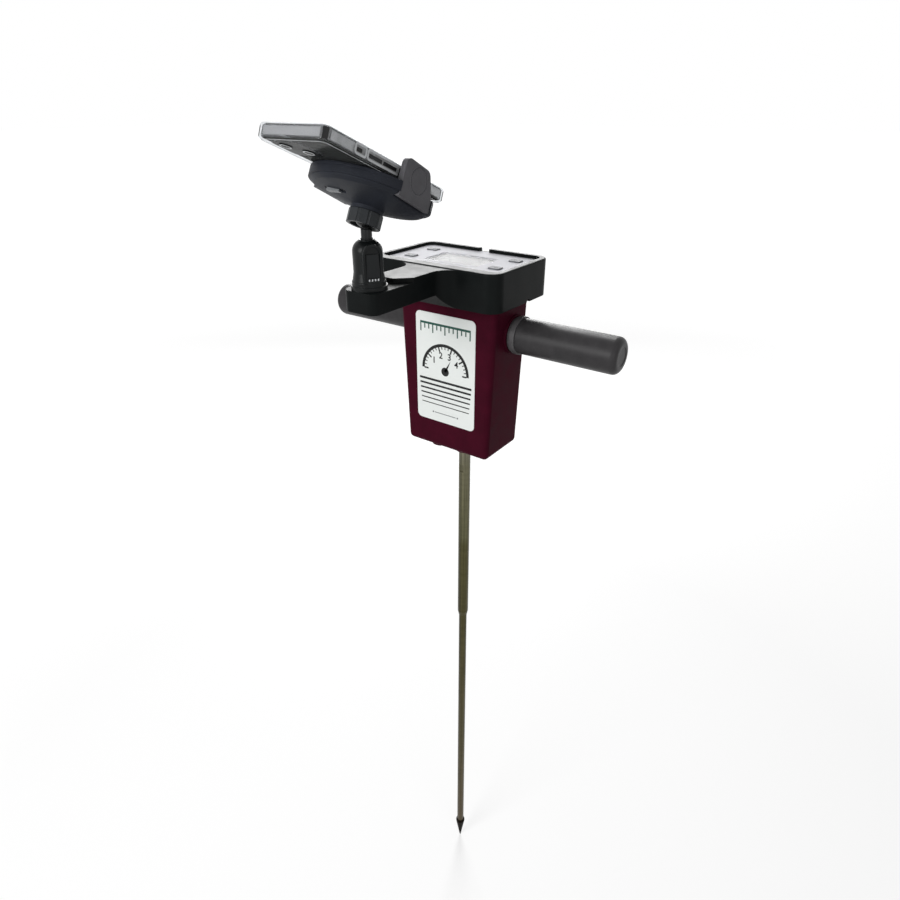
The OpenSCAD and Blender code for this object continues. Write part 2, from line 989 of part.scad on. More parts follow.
module lcd_module() {
    color("#2b3a33")
    translate([0, -lcd_fore, board_top])
        linear_extrude(lcd_t)
            rrect(lcd_w + 2 * lcd_frame, lcd_d + 2 * lcd_frame, key_r);
}

module main_board() {
    legs = panel_z - flange_t - key_leg - key_travel - part_gap - board_top;
    color("#1d5a34") {
        translate([0, cover_y, board_z])
            linear_extrude(board_t)
                rrect(board_w, board_d, key_r);
        for (sx = [-1, 1], y = [-key_fore, key_aft])
            key_place(sx, y)
                translate([0, 0, board_top])
                    cylinder(d = dome_d, h = legs);
    }
}

module key_cap() {
    color("#8d9094") {
        translate([0, 0, panel_z - run_gap])
            linear_extrude(panel_t + key_up + run_gap)
                rrect(key_w, key_d, key_r);
        translate([0, 0, panel_z - run_gap - flange_t])
            linear_extrude(flange_t)
                rrect(key_w + 2 * flange, key_d + 2 * flange, key_r);
        translate([0, 0, panel_z - run_gap - flange_t - key_leg])
            cylinder(d = dome_d, h = key_leg);
    }
}

module button_left_back() {
    key_place(-1, key_aft)
        key_cap();
}

module button_left_front() {
    key_place(-1, -key_fore)
        key_cap();
}

module button_right_back() {
    key_place(1, key_aft)
        key_cap();
}

module button_right_front() {
    key_place(1, -key_fore)
        key_cap();
}

// handle

module handle_tube() {
    color("gray")
    translate([-tube_end, 0, grip_z])
        along_x()
            difference() {
                cylinder(d = tube_d, h = 2 * tube_end);
                translate([0, 0, -over])
                    cylinder(d = tube_d - 2 * tube_wall, h = 2 * tube_end + 2 * over);
            }
}

module grip_shape() {
    r = grip_d / 2;
    e = grip_round;
    translate([0, 0, grip_z])
        along_x()
            rotate_extrude()
                difference() {
                    union() {
                        translate([0, grip_x])
                            square([r, grip_end - grip_x - e]);
                        translate([0, grip_x])
                            square([r - e, grip_end - grip_x]);
                        translate([r - e, grip_end - e])
                            circle(r = e);
                    }
                    square([tube_d / 2, tube_end]);
                    translate([0, grip_end - dish_t])
                        square([dish_d / 2, dish_t + over]);
                }
}

module grip_right() {
    color("#3b3a3c")
        grip_shape();
}

module grip_left() {
    color("#3b3a3c")
    mirror([1, 0, 0])
        grip_shape();
}

module collar_shape() {
    translate([0, 0, grip_z])
        along_x()
            rotate_extrude()
                difference() {
                    union() {
                        translate([0, seat_x])
                            square([collar_d / 2 - collar_step, collar_t]);
                        translate([0, seat_x + collar_neck])
                            square([collar_d / 2, collar_t - collar_neck]);
                    }
                    square([tube_d / 2, seat_x + collar_t + over]);
                }
}

module collar_right() {
    color("#232325")
        collar_shape();
}

module collar_left() {
    color("#232325")
    mirror([1, 0, 0])
        collar_shape();
}

// arm and ball mount

module post_turn() {
    r = post_d / 2;
    fr = post_foot_d / 2;
    tr = tier_d / 2;
    z1 = foot_t;
    z2 = foot_t + tier_t;
    z3 = z2 + flare_h;
    z4 = post_h - dome_h;
    nr = neck_ring_d / 2;
    rotate_extrude()
        union() {
            polygon([[0, 0], [fr, 0], [fr, z1], [tr, z1], [tr, z2],
                [r + flange, z2 + flange], [r, z3], [r, z4],
                [nr, z4], [nr, post_h], [0, post_h]]);
            intersection() {
                translate([r - dome_h, z4])
                    circle(r = dome_h);
                translate([0, z4])
                    square([r, dome_h]);
            }
        }
}

// raised arch on the side of the post, seen from the side
module arch_face(w, h) {
    translate([-w / 2, 0])
        square([w, h - w / 2]);
    translate([0, h - w / 2])
        circle(d = w);
}

module arch_side() {
    rotate([90, 0, 90])
        linear_extrude(post_d / 2 + arch_out)
            arch_face(arch_w, arch_h);
}

// both arched faces of the post
module on_post() {
    for (s = [0, 1])
        translate([0, post_y, arch_z])
            rotate([0, 0, post_twist + s * 180])
                children();
}

module mount_post() {
    color("#141617")
    difference() {
        union() {
            translate([0, post_y, pad_top])
                post_turn();
            on_post()
                arch_side();
        }
        on_post()
            translate([post_d / 2 + arch_out - insert_in, 0, insert_up])
                rotate([90, 0, 90])
                    linear_extrude(insert_in + over)
                        arch_face(arch_w - 2 * arch_wall, arch_h - insert_up - arch_wall);
        translate([0, post_y, post_top - stem_in])
            cylinder(d = stem_d + 2 * run_gap, h = stem_in + over);
        translate([0, post_y, pad_top - over])
            cylinder(d = bolt_d, h = bolt_in + over);
    }
}

module post_inserts() {
    w = arch_w - 2 * arch_wall - 2 * fit_gap;
    h = arch_h - insert_up - arch_wall - w / 2;
    color("#232728")
    on_post()
        translate([post_d / 2 + arch_out - insert_in, 0, insert_up + fit_gap])
            rotate([90, 0, 90]) {
                linear_extrude(insert_t)
                    polygon([[-w / 2, 0], [w / 2, 0],
                        [w / 2 - insert_taper, h], [insert_taper - w / 2, h]]);
                for (i = [0:tick_n - 1])
                    translate([(i - (tick_n - 1) / 2) * tick_pitch - tick_w / 2, tick_h / 2, 0])
                        linear_extrude(insert_in + arch_out * ring_share)
                            square([tick_w, tick_h]);
            }
}

module post_bolt() {
    color("silver")
    translate([0, post_y, pad_z]) {
        difference() {
            cylinder(d = bolt_head_d, h = bolt_head_t);
            translate([0, 0, -over])
                cylinder(d = bolt_d, h = bolt_head_t * ring_share + over, $fn = 6);
        }
        translate([0, 0, bolt_head_t])
            cylinder(d = bolt_d, h = pad_t + bolt_in - over - bolt_head_t);
    }
}

module ball_stem() {
    color("#1b1d1e")
    translate([0, post_y, 0]) {
        translate([0, 0, ball_z])
            sphere(d = ball_d);
        translate([0, 0, post_top - stem_in])
            cylinder(d = stem_d, h = stem_in + ball_up * ring_share - flange);
        translate([0, 0, post_top + ball_up * ring_share - flange])
            cylinder(d1 = stem_d, d2 = stem_neck_d, h = flange);
        translate([0, 0, post_top + ball_up * ring_share])
            cylinder(d = stem_neck_d, h = ball_up * ring_share);
        translate([0, 0, post_top + run_gap])
            cylinder(d = stem_d + 2 * stem_lip, h = flange);
    }
}

module clamp_nut() {
    color("#222527")
    on_cradle()
        difference() {
            translate([0, 0, -nut_lo])
                cylinder(d = nut_d, h = nut_lo + nut_hi, $fn = nut_sides);
            for (i = [0:nut_sides - 1])
                rotate([0, 0, i * 360 / nut_sides])
                    translate([nut_d / 2, 0, -nut_lo - over])
                        cylinder(r = nut_groove, h = nut_lo + nut_hi + 2 * over);
            sphere(r = ball_r + ball_gap);
            translate([0, 0, -thread_lo - part_gap])
                cylinder(d = nut_bore_d, h = nut_hi + thread_lo + part_gap + over);
            translate([0, 0, -nut_lo - over])
                cylinder(d1 = nut_mouth_d, d2 = 2 * lip_r, h = nut_lo + over - lip_z);
        }
}

// cradle

module cradle_profile() {
    polygon([[0, -thread_lo], [thread_d / 2, -thread_lo], [thread_d / 2, neck_z],
        [neck_d / 2, neck_z], [neck_d / 2, cone_z], [belly_r, belly_z],
        [cradle_r - rim_in, rim_lo - rim_step], [cradle_r - rim_in, rim_lo],
        [cradle_r, rim_lo], [cradle_r, rim_hi], [0, rim_hi]]);
}

// bays in both sides of the disc where the jaws sit
module jaw_bays(z0, z1) {
    for (s = [-1, 1])
        translate([s * (bay_x + cradle_r / 2) - cradle_r / 2, -jaw_fore - bay_gap, z0])
            cube([cradle_r, jaw_fore + jaw_aft + 2 * bay_gap, z1 - z0]);
}

module rack_ways(z0, z1) {
    y0 = rack_y + rack_w / 2;
    for (s = [-1, 1])
        translate([0, s * y0, (z0 + z1) / 2])
            cube([2 * cradle_r, rack_w + 2 * part_gap, z1 - z0], center = true);
}

// sliding tab under the disc, held by a wider top
module tab_slot(gap, play) {
    l = tab_l + 2 * gap;
    w = tab_w + 2 * gap;
    translate([tab_x - tab_l / 2 - gap - play, tab_y - w / 2, tab_z])
        cube([l + play, w, tab_h + gap]);
    translate([tab_x - tab_l / 2 - gap - play, tab_y - w / 2 - flange,
        tab_z + tab_h - flange_t - gap])
        cube([l + play, w + 2 * flange, flange_t + 2 * gap]);
}

// seats on the underside for the screws that hold the face
screw_seat = cone_z + (screw_ring - neck_d / 2) * (belly_z - cone_z) / (belly_r - neck_d / 2)
    + small_head_t + small_sink;

module screw_spot() {
    for (a = screw_turns)
        rotate([0, 0, a])
            translate([screw_ring, 0, screw_seat])
                children();
}

module cradle_back() {
    socket_r = ball_r + ball_gap;
    color("#25292d")
    on_cradle() {
        difference() {
            rotate_extrude()
                cradle_profile();
            sphere(r = socket_r);
            translate([0, 0, rack_z - part_gap])
                cylinder(r = pinion_r + part_gap, h = rim_hi);
            translate([0, 0, rack_z + rack_t + part_gap])
                cylinder(r = cavity_r - rack_w, h = rim_hi);
            rack_ways(rack_z - part_gap, rim_hi + over);
            jaw_bays(cone_z, rim_hi + over);
            for (s = [-1, 1])
                translate([s * foot_hole_x, foot_hole_y, rim_lo + rim_step - foot_hole_t])
                    cylinder(d = foot_hole_d, h = foot_hole_t);
            tab_slot(part_gap, tab_travel);
            screw_spot() {
                cylinder(d = screw_d, h = rim_hi);
                translate([0, 0, -cone_z])
                    cylinder(d = small_head_d + 2 * part_gap, h = cone_z);
            }
        }
        translate([0, 0, rack_z - part_gap - over])
            cylinder(d = pinion_pin_d - 2 * run_gap, h = rim_hi - rack_z + part_gap + over);
    }
}

module cradle_face() {
    color("#1e2124")
    on_cradle()
        difference() {
            translate([0, 0, rim_hi])
                cylinder(r = cradle_r, h = face_t);
            jaw_bays(rim_hi - over, face_z + over);
            screw_spot()
                cylinder(d = screw_d, h = rim_hi + face_bite - screw_seat);
            translate([0, 0, face_z - face_t * ring_share])
                linear_extrude(face_t)
                    difference() {
                        circle(r = grip_soft_r);
                        circle(r = soft_in_r);
                    }
        }
}

module face_pad() {
    color("#121314")
    on_cradle()
        translate([0, 0, face_z - face_t * ring_share])
            linear_extrude(face_t * ring_share)
                difference() {
                    circle(r = grip_soft_r - fit_gap);
                    circle(r = soft_in_r + fit_gap);
                }
}

module pinion() {
    color("#d8d2c0")
    on_cradle()
        translate([0, 0, rack_z])
            difference() {
                linear_extrude(rack_t)
                    for (i = [0:pinion_teeth - 1])
                        rotate(i * 90 / pinion_teeth)
                            square(pinion_r * sqrt(2), center = true);
                translate([0, 0, -over])
                    cylinder(d = pinion_pin_d, h = rack_t + 2 * over);
            }
}

module release_tab() {
    color("#9a9da1")
    on_cradle()
        tab_slot(0, 0);
}

module cradle_screws() {
    color("silver")
    on_cradle()
        screw_spot() {
            cylinder(d = screw_d, h = rim_hi + face_bite - screw_seat);
            difference() {
                translate([0, 0, -small_head_t])
                    cylinder(d = small_head_d, h = small_head_t);
                translate([-small_head_d, -drive_w / 2, -small_head_t - over])
                    cube([2 * small_head_d, drive_w, drive_t + over]);
            }
        }
}

// outline of a jaw seen from the side: one edge leans in toward the top
module jaw_side() {
    k = atan(jaw_cut / (jaw_hi - jaw_knee));
    yc = jaw_aft - jaw_cut - jaw_r * (1 - sin(k)) / cos(k);
    zc = jaw_hi - jaw_r;
    polygon([[-jaw_fore, jaw_lo], [jaw_aft, jaw_lo], [jaw_aft, jaw_knee],
        [yc + jaw_r * cos(k), zc + jaw_r * sin(k)], [yc, jaw_hi],
        [jaw_nose_r - jaw_fore, jaw_hi], [-jaw_fore, jaw_hi - jaw_nose_r]]);
    translate([yc, zc])
        circle(r = jaw_r);
    translate([jaw_nose_r - jaw_fore, jaw_hi - jaw_nose_r])
        circle(r = jaw_nose_r);
}

module jaw_plate() {
    x0 = jaw_in + pad_soft;
    difference() {
        translate([x0, 0, 0])
            rotate([90, 0, 90])
                linear_extrude(jaw_t)
                    jaw_side();
        translate([x0 + jaw_t - ring_mark_t, 0, ring_mark_z])
            rotate([90, 0, 90])
                linear_extrude(ring_mark_t + over)
                    difference() {
                        circle(r = ring_mark_r);
                        circle(r = ring_mark_r - ring_mark_w);
                    }
    }
}

module jaw_rack() {
    translate([-rack_back, rack_y, rack_z])
        cube([rack_back + jaw_in + pad_soft + over, rack_w, rack_t]);
}

module jaw_soft() {
    z0 = face_z + over;
    z1 = jaw_hi - jaw_r;
    translate([jaw_in, 0, (z0 + z1) / 2])
        rotate([90, 0, 90])
            linear_extrude(pad_soft)
                rrect(jaw_w - 2 * pad_in, z1 - z0, soft_r);
}

module jaw_right() {
    color("#24272a")
    on_cradle() {
        jaw_plate();
        jaw_rack();
    }
}

module jaw_right_pad() {
    color("#101112")
    on_cradle()
        jaw_soft();
}

module jaw_left() {
    color("#24272a")
    on_cradle() {
        mirror([1, 0, 0])
            jaw_plate();
        rotate([0, 0, 180])
            jaw_rack();
    }
}

module jaw_left_pad() {
    color("#101112")
    on_cradle()
        mirror([1, 0, 0])
            jaw_soft();
}

// phone held in the cradle, in its clear case

module phone_body() {
    color("#a9abb0")
    on_phone()
        translate([0, 0, -lip_t - body_t])
            pillow_slab(body_w, body_l, body_t, body_r, body_edge);
}

module phone_screen() {
    color("#0b0c0f")
    on_phone()
        translate([0, 0, -lip_t])
            linear_extrude(glass_t)
                rrect(body_w - 2 * glass_in, body_l - 2 * glass_in, body_r - glass_in);
}

module isle_plan(grow) {
    translate([isle_in + isle_w / 2 - body_w / 2, isle_in + isle_l / 2 - body_l / 2])
        rrect(isle_w + 2 * grow, isle_l + 2 * grow, isle_r);
}

module phone_camera() {
    z0 = -lip_t - body_t;
    color("#17191c")
    on_phone() {
        translate([0, 0, z0 - isle_t])
            linear_extrude(isle_t)
                isle_plan(0);
        for (s = [-1, 1])
            translate([isle_in + isle_w / 2 - body_w / 2 + s * isle_w / 5,
                isle_in + isle_l / 2 - body_l / 2 + s * isle_l / 5,
                z0 - isle_t - lens_t])
                cylinder(d = lens_d, h = lens_t);
    }
}

module phone_keys() {
    short = vol_l * ring_share - key_rest;
    color("#8f9196")
    on_phone()
        for (q = [[mute_y, mute_l * ring_share], [vol_y - vol_l / 4, short],
            [vol_y + vol_l / 4, short]])
            translate([body_w / 2 + keys_out / 2, q[0], -lip_t - body_t / 2])
                cube([keys_out, q[1], cut_w * ring_share], center = true);
}

module phone_case() {
    z0 = -phone_t;
    color("#c9ced2", 0.4)
    on_phone()
        difference() {
            translate([0, 0, z0])
                pillow_slab(phone_w, phone_l, phone_t, phone_r, case_edge);
            translate([0, 0, -lip_t - body_t])
                pillow_slab(body_w, body_l, body_t, body_r, body_edge);
            translate([0, 0, -lip_t - over])
                linear_extrude(lip_t + 2 * over)
                    rrect(body_w - 2 * lip_in, body_l - 2 * lip_in, body_r - lip_in);
            translate([0, 0, z0 - over])
                linear_extrude(case_t + over)
                    isle_plan(part_gap);
            for (q = [[mute_y, mute_l], [vol_y, vol_l]])
                translate([phone_w / 2, q[0], -lip_t - body_t / 2])
                    cube([2 * case_t + over, q[1], cut_w], center = true);
        }
}

housing_shell();
head_tray();
front_label();
label_bars();
top_cover();
display_panel();
lcd_window();
lcd_module();
main_board();
battery_holder();
battery_cells();
battery_door();
door_screws();
tube_clamp();
load_cell();
handle_tube();
grip_left();
grip_right();
collar_left();
collar_right();
shaft_bush();
upper_shaft();
lower_shaft();
cone_tip();
depth_sensor();
cover_screws();
mount_post();
post_inserts();
post_bolt();
button_left_back();
button_left_front();
button_right_back();
button_right_front();
ball_stem();
clamp_nut();
cradle_back();
cradle_face();
face_pad();
cradle_screws();
pinion();
release_tab();
jaw_left();
jaw_left_pad();
jaw_right();
jaw_right_pad();
phone_body();
phone_screen();
phone_camera();
phone_keys();
phone_case();
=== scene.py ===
import json
import math
import bpy
import bmesh
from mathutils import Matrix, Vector


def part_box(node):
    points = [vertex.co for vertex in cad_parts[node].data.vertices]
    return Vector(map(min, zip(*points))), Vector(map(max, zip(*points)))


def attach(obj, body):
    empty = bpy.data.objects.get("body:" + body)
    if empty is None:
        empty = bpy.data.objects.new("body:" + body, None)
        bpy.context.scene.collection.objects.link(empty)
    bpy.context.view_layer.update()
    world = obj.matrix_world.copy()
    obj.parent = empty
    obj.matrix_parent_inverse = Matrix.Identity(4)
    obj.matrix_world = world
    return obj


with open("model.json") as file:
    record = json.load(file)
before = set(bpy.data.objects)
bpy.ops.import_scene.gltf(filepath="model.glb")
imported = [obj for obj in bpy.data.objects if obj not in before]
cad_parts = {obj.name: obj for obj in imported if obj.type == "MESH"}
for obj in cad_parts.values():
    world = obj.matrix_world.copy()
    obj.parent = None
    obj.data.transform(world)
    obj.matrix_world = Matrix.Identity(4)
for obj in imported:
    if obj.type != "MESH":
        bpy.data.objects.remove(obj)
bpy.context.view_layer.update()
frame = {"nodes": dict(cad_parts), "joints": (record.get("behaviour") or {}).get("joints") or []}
nodes = frame["nodes"]
joints = {j["name"]: j for j in frame["joints"]}
mm = 0.001
right, ahead, upward = Vector((1, 0, 0)), Vector((0, 1, 0)), Vector((0, 0, 1))
print("frame in:", len(nodes), "nodes")


# finishes

def linear(tone):
    return tuple(c / 12.92 if c <= 0.04045 else ((c + 0.055) / 1.055) ** 2.4 for c in tone)


def tint(tone, by):
    return tuple(min(1.0, max(0.0, c * by)) for c in tone)


def addNode(tree, kind, x, y, **values):
    node = tree.nodes.new(kind)
    node.location = (x, y)
    for key, value in values.items():
        setattr(node, key, value)
    return node


def addRange(tree, x, y, source, low, high, fromLow=0.3, fromHigh=0.7):
    span = addNode(tree, "ShaderNodeMapRange", x, y)
    for socket, value in zip(("From Min", "From Max", "To Min", "To Max"), (fromLow, fromHigh, low, high)):
        span.inputs[socket].default_value = value
    tree.links.new(source, span.inputs["Value"])
    return span.outputs["Result"]


# what a finish has unless its own look says otherwise, lengths in metres
plainLook = {
    "stretch": (1, 1, 1), "mottleScale": 60, "mottleDetail": 5, "mottleRough": 0.6, "mottleSpots": (0.3, 0.7),
    "spread": 0.12, "edge": 0.0006, "edgeSamples": 4, "rub": 0.25, "edgeHighlightTone": 1.7, "edgeHighlightSpots": (0.75, 0.98),
    "grainScale": 1800, "grainDetail": 3, "grainDepth": 0.15, "grainHeight": 0.0002,
    "metal": 0.0, "shine": 0.4, "coat": 0.0, "coatGloss": 0.1,
}


# uneven gloss, fine grain and softened edges, which every finish has
def makeBase(name, look):
    mat = bpy.data.materials.new(name)
    mat.use_nodes = True
    tree = mat.node_tree
    shader = tree.nodes["Principled BSDF"]
    place = addNode(tree, "ShaderNodeTexCoord", -1400, 0)
    stretch = addNode(tree, "ShaderNodeMapping", -1220, 0)
    stretch.inputs["Scale"].default_value = look["stretch"]
    tree.links.new(place.outputs["Object"], stretch.inputs["Vector"])

    mottle = addNode(tree, "ShaderNodeTexNoise", -1020, 200)
    mottle.inputs["Scale"].default_value = look["mottleScale"]
    mottle.inputs["Detail"].default_value = look["mottleDetail"]
    mottle.inputs["Roughness"].default_value = look["mottleRough"]
    tree.links.new(stretch.outputs["Vector"], mottle.inputs["Vector"])
    gloss = addRange(tree, -640, 0, mottle.outputs["Fac"], *look["gloss"])
    tree.links.new(gloss, shader.inputs["Roughness"])

    soft = addNode(tree, "ShaderNodeBevel", -1020, -520, samples=look["edgeSamples"])
    soft.inputs["Radius"].default_value = look["edge"]
    grain = addNode(tree, "ShaderNodeTexNoise", -1020, -300)
    grain.inputs["Scale"].default_value = look["grainScale"]
    grain.inputs["Detail"].default_value = look["grainDetail"]
    tree.links.new(stretch.outputs["Vector"], grain.inputs["Vector"])
    bump = addNode(tree, "ShaderNodeBump", -380, -320)
    bump.inputs["Strength"].default_value = look["grainDepth"]
    bump.inputs["Distance"].default_value = look["grainHeight"]
    tree.links.new(grain.outputs["Fac"], bump.inputs["Height"])
    tree.links.new(soft.outputs["Normal"], bump.inputs["Normal"])
    tree.links.new(bump.outputs["Normal"], shader.inputs["Normal"])

    shader.inputs["Metallic"].default_value = look["metal"]
    shader.inputs["Specular IOR Level"].default_value = look["shine"]
    shader.inputs["Coat Weight"].default_value = look["coat"]
    shader.inputs["Coat Roughness"].default_value = look["coatGloss"]
    return mat, mottle, soft


# one moulded, coated or metal finish: mottled tone, with a painted highlight that makes its edges paler
def makeFinish(name, ownLook):
    look = {**plainLook, **ownLook}
    mat, mottle, soft = makeBase(name, look)
    tree = mat.node_tree
    ramp = addNode(tree, "ShaderNodeValToRGB", -820, 260)
    shades = (1 - look["spread"], 1 + look["spread"])
    for element, spot, by in zip(ramp.color_ramp.elements, look["mottleSpots"], shades):
        element.position = spot
        element.color = (*linear(tint(look["tone"], by)), 1)
    tree.links.new(mottle.outputs["Fac"], ramp.inputs["Fac"])

    # painted highlight: the tone turns paler where the softened normal leaves the flat one, along the edges
    flat = addNode(tree, "ShaderNodeNewGeometry", -1020, -700)
    facing = addNode(tree, "ShaderNodeVectorMath", -820, -600, operation="DOT_PRODUCT")
    tree.links.new(soft.outputs["Normal"], facing.inputs[0])
    tree.links.new(flat.outputs["Normal"], facing.inputs[1])
    edgeHighlightShare = addRange(tree, -640, -600, facing.outputs["Value"], look["rub"], 0.0, *look["edgeHighlightSpots"])
    edgeHighlightMix = addNode(tree, "ShaderNodeMix", -460, 260, data_type="RGBA")
    edgeHighlightMix.inputs["B"].default_value = (*linear(tint(look["tone"], look["edgeHighlightTone"])), 1)
    tree.links.new(edgeHighlightShare, edgeHighlightMix.inputs["Factor"])
    tree.links.new(ramp.outputs["Color"], edgeHighlightMix.inputs["A"])
    tree.links.new(edgeHighlightMix.outputs["Result"], tree.nodes["Principled BSDF"].inputs["Base Color"])
    return mat


# the clear case and the display window
def makeClear(name, look):
    mat = makeFinish(name, look)
    shader = mat.node_tree.nodes["Principled BSDF"]
    shader.inputs["Transmission Weight"].default_value = look["clear"]
    shader.inputs["IOR"].default_value = look["ior"]
    return mat


# each look's edge highlight paints its edges paler as a highlight
looks = {
    "maroonCase": {"tone": (0.235, 0.05, 0.11), "spread": 0.09, "gloss": (0.44, 0.56), "shine": 0.02,
                   "grainScale": 1500, "grainDepth": 0.12, "edge": 0.0014, "rub": 0.12},
    "labelFilm": {"tone": (0.90, 0.915, 0.905), "spread": 0.015, "gloss": (0.3, 0.38), "shine": 0.3,
                  "grainScale": 900, "grainDepth": 0.03, "edge": 0.0003, "mottleScale": 12, "rub": 0.0},
    "inkBlack": {"tone": (0.06, 0.065, 0.065), "spread": 0.15, "gloss": (0.4, 0.5), "shine": 0.25,
                 "edge": 0.0001},
    "inkGreen": {"tone": (0.13, 0.29, 0.25), "spread": 0.1, "gloss": (0.4, 0.5), "shine": 0.25,
                 "edge": 0.0001},
    "inkGrey": {"tone": (0.42, 0.43, 0.44), "spread": 0.08, "gloss": (0.4, 0.5), "shine": 0.25,
                "edge": 0.0001},
    "coverBlack": {"tone": (0.06, 0.07, 0.07), "spread": 0.12, "gloss": (0.36, 0.46), "shine": 0.05,
                   "grainScale": 1300, "grainDepth": 0.16, "edge": 0.0011, "rub": 0.35, "edgeHighlightTone": 2.0},
    "panelPrint": {"tone": (0.81, 0.81, 0.83), "spread": 0.015, "gloss": (0.6, 0.68), "shine": 0.1,
                   "grainScale": 2200, "grainDepth": 0.08, "edge": 0.0003, "rub": 0.0},
    "glassFront": {"tone": (0.97, 0.97, 0.97), "spread": 0.005, "gloss": (0.1, 0.16), "clear": 0.96,
                   "ior": 1.0, "coat": 0.08, "coatGloss": 0.12, "grainDepth": 0.01, "edge": 0.0002,
                   "rub": 0.0},
    "lcdGrey": {"tone": (0.48, 0.482, 0.485), "spread": 0.02, "gloss": (0.5, 0.6), "shine": 0.1,
                "grainDepth": 0.02, "rub": 0.0},
    "boardGreen": {"tone": (0.1, 0.32, 0.18), "spread": 0.2, "gloss": (0.35, 0.5), "mottleScale": 300},
    "innerBlack": {"tone": (0.08, 0.08, 0.085), "spread": 0.15, "gloss": (0.45, 0.6), "shine": 0.2},
    "cellWrap": {"tone": (0.3, 0.34, 0.2), "spread": 0.15, "gloss": (0.2, 0.3), "mottleScale": 40},
    "screwSteel": {"tone": (0.66, 0.66, 0.67), "spread": 0.12, "gloss": (0.28, 0.42), "metal": 1.0,
                   "edge": 0.0002, "mottleScale": 500},
    "screwBlack": {"tone": (0.06, 0.06, 0.065), "spread": 0.15, "gloss": (0.3, 0.45), "shine": 0.3,
                   "edge": 0.0002},
    "alloyGrey": {"tone": (0.72, 0.73, 0.74), "spread": 0.06, "gloss": (0.3, 0.42), "metal": 1.0,
                  "stretch": (1, 1, 12), "mottleScale": 160},
    "tubeSteel": {"tone": (0.55, 0.55, 0.56), "spread": 0.1, "gloss": (0.25, 0.4), "metal": 1.0,
                  "stretch": (0.1, 1, 1), "mottleScale": 300},
    "gripRubber": {"tone": (0.2, 0.195, 0.2), "spread": 0.1, "gloss": (0.34, 0.44), "shine": 0.14,
                   "grainScale": 700, "grainDepth": 0.3, "edge": 0.001, "mottleScale": 90, "rub": 0.15},
    "collarBlack": {"tone": (0.3, 0.295, 0.3), "spread": 0.12, "gloss": (0.4, 0.5), "shine": 0.2,
                    "edge": 0.0008},
    "bushBronze": {"tone": (0.58, 0.43, 0.22), "spread": 0.1, "gloss": (0.3, 0.4), "metal": 1.0},
    "postBlack": {"tone": (0.06, 0.07, 0.072), "spread": 0.12, "gloss": (0.28, 0.4), "shine": 0.14,
                  "grainScale": 1500, "grainDepth": 0.14, "edge": 0.001, "rub": 0.45, "edgeHighlightTone": 2.4},
    "insertGrey": {"tone": (0.075, 0.085, 0.09), "spread": 0.12, "gloss": (0.35, 0.45), "shine": 0.16,
                   "edge": 0.0003},
    "keyRubber": {"tone": (0.47, 0.475, 0.49), "spread": 0.05, "gloss": (0.55, 0.65), "shine": 0.2,
                  "grainScale": 1600, "grainDepth": 0.12, "edge": 0.0008, "rub": 0.5, "edgeHighlightTone": 1.25},
    "keyPrint": {"tone": (0.3, 0.3, 0.32), "spread": 0.1, "gloss": (0.5, 0.6), "shine": 0.2, "edge": 0.0001},
    "ballBlack": {"tone": (0.08, 0.085, 0.09), "spread": 0.1, "gloss": (0.25, 0.38), "shine": 0.2,
                  "edge": 0.0005},
    "nutBlack": {"tone": (0.15, 0.16, 0.17), "spread": 0.12, "gloss": (0.34, 0.46), "shine": 0.2,
                 "edge": 0.0009, "rub": 0.4},
    "cradleBlack": {"tone": (0.14, 0.15, 0.175), "spread": 0.1, "gloss": (0.42, 0.55), "shine": 0.09,
                    "grainScale": 1400, "grainDepth": 0.16, "edge": 0.0009},
    "jawBlack": {"tone": (0.33, 0.327, 0.34), "spread": 0.1, "gloss": (0.42, 0.54), "shine": 0.15,
                 "grainScale": 1100, "grainDepth": 0.2, "edge": 0.0014, "rub": 0.5, "edgeHighlightTone": 1.6},
    "softPad": {"tone": (0.07, 0.07, 0.075), "spread": 0.15, "gloss": (0.65, 0.8), "shine": 0.2,
                "grainScale": 900, "grainDepth": 0.3},
    "pinionCream": {"tone": (0.84, 0.81, 0.74), "spread": 0.04, "gloss": (0.4, 0.5)},
    "tabGrey": {"tone": (0.42, 0.43, 0.44), "spread": 0.08, "gloss": (0.35, 0.45)},
    # the pale tone and the end are painted reflection; the back is the phone's own dark back
    "phoneShellPaintedReflection": {"tone": (0.6, 0.6, 0.6), "spread": 0.1, "gloss": (0.34, 0.44), "shine": 0.0,
                   "grainDepth": 0.04, "edge": 0.003, "mottleScale": 80,
                   "end": (0.545, 0.545, 0.55), "back": (0.08, 0.09, 0.075)},
    "phoneDark": {"tone": (0.09, 0.09, 0.095), "spread": 0.1, "gloss": (0.3, 0.4), "shine": 0.2},
    "phoneGlass": {"tone": (0.03, 0.034, 0.045), "spread": 0.1, "gloss": (0.05, 0.09), "shine": 0.5,
                   "grainDepth": 0.01, "edge": 0.0004, "rub": 0.0},
    "lensBlack": {"tone": (0.06, 0.07, 0.07), "spread": 0.1, "gloss": (0.2, 0.3), "shine": 0.03},
    "caseClear": {"tone": (0.88, 0.89, 0.9), "spread": 0.01, "gloss": (0.06, 0.14), "clear": 0.95,
                  "ior": 1.0, "coat": 0.2, "grainDepth": 0.02, "edge": 0.002, "rub": 0.0},
    # pale finish for pieces that paint highlights on the case's edges and the post's ribs
    "paintedHighlight": {"tone": (0.8, 0.81, 0.82), "spread": 0.05, "gloss": (0.2, 0.3), "shine": 0.3, "edge": 0.0002},
}
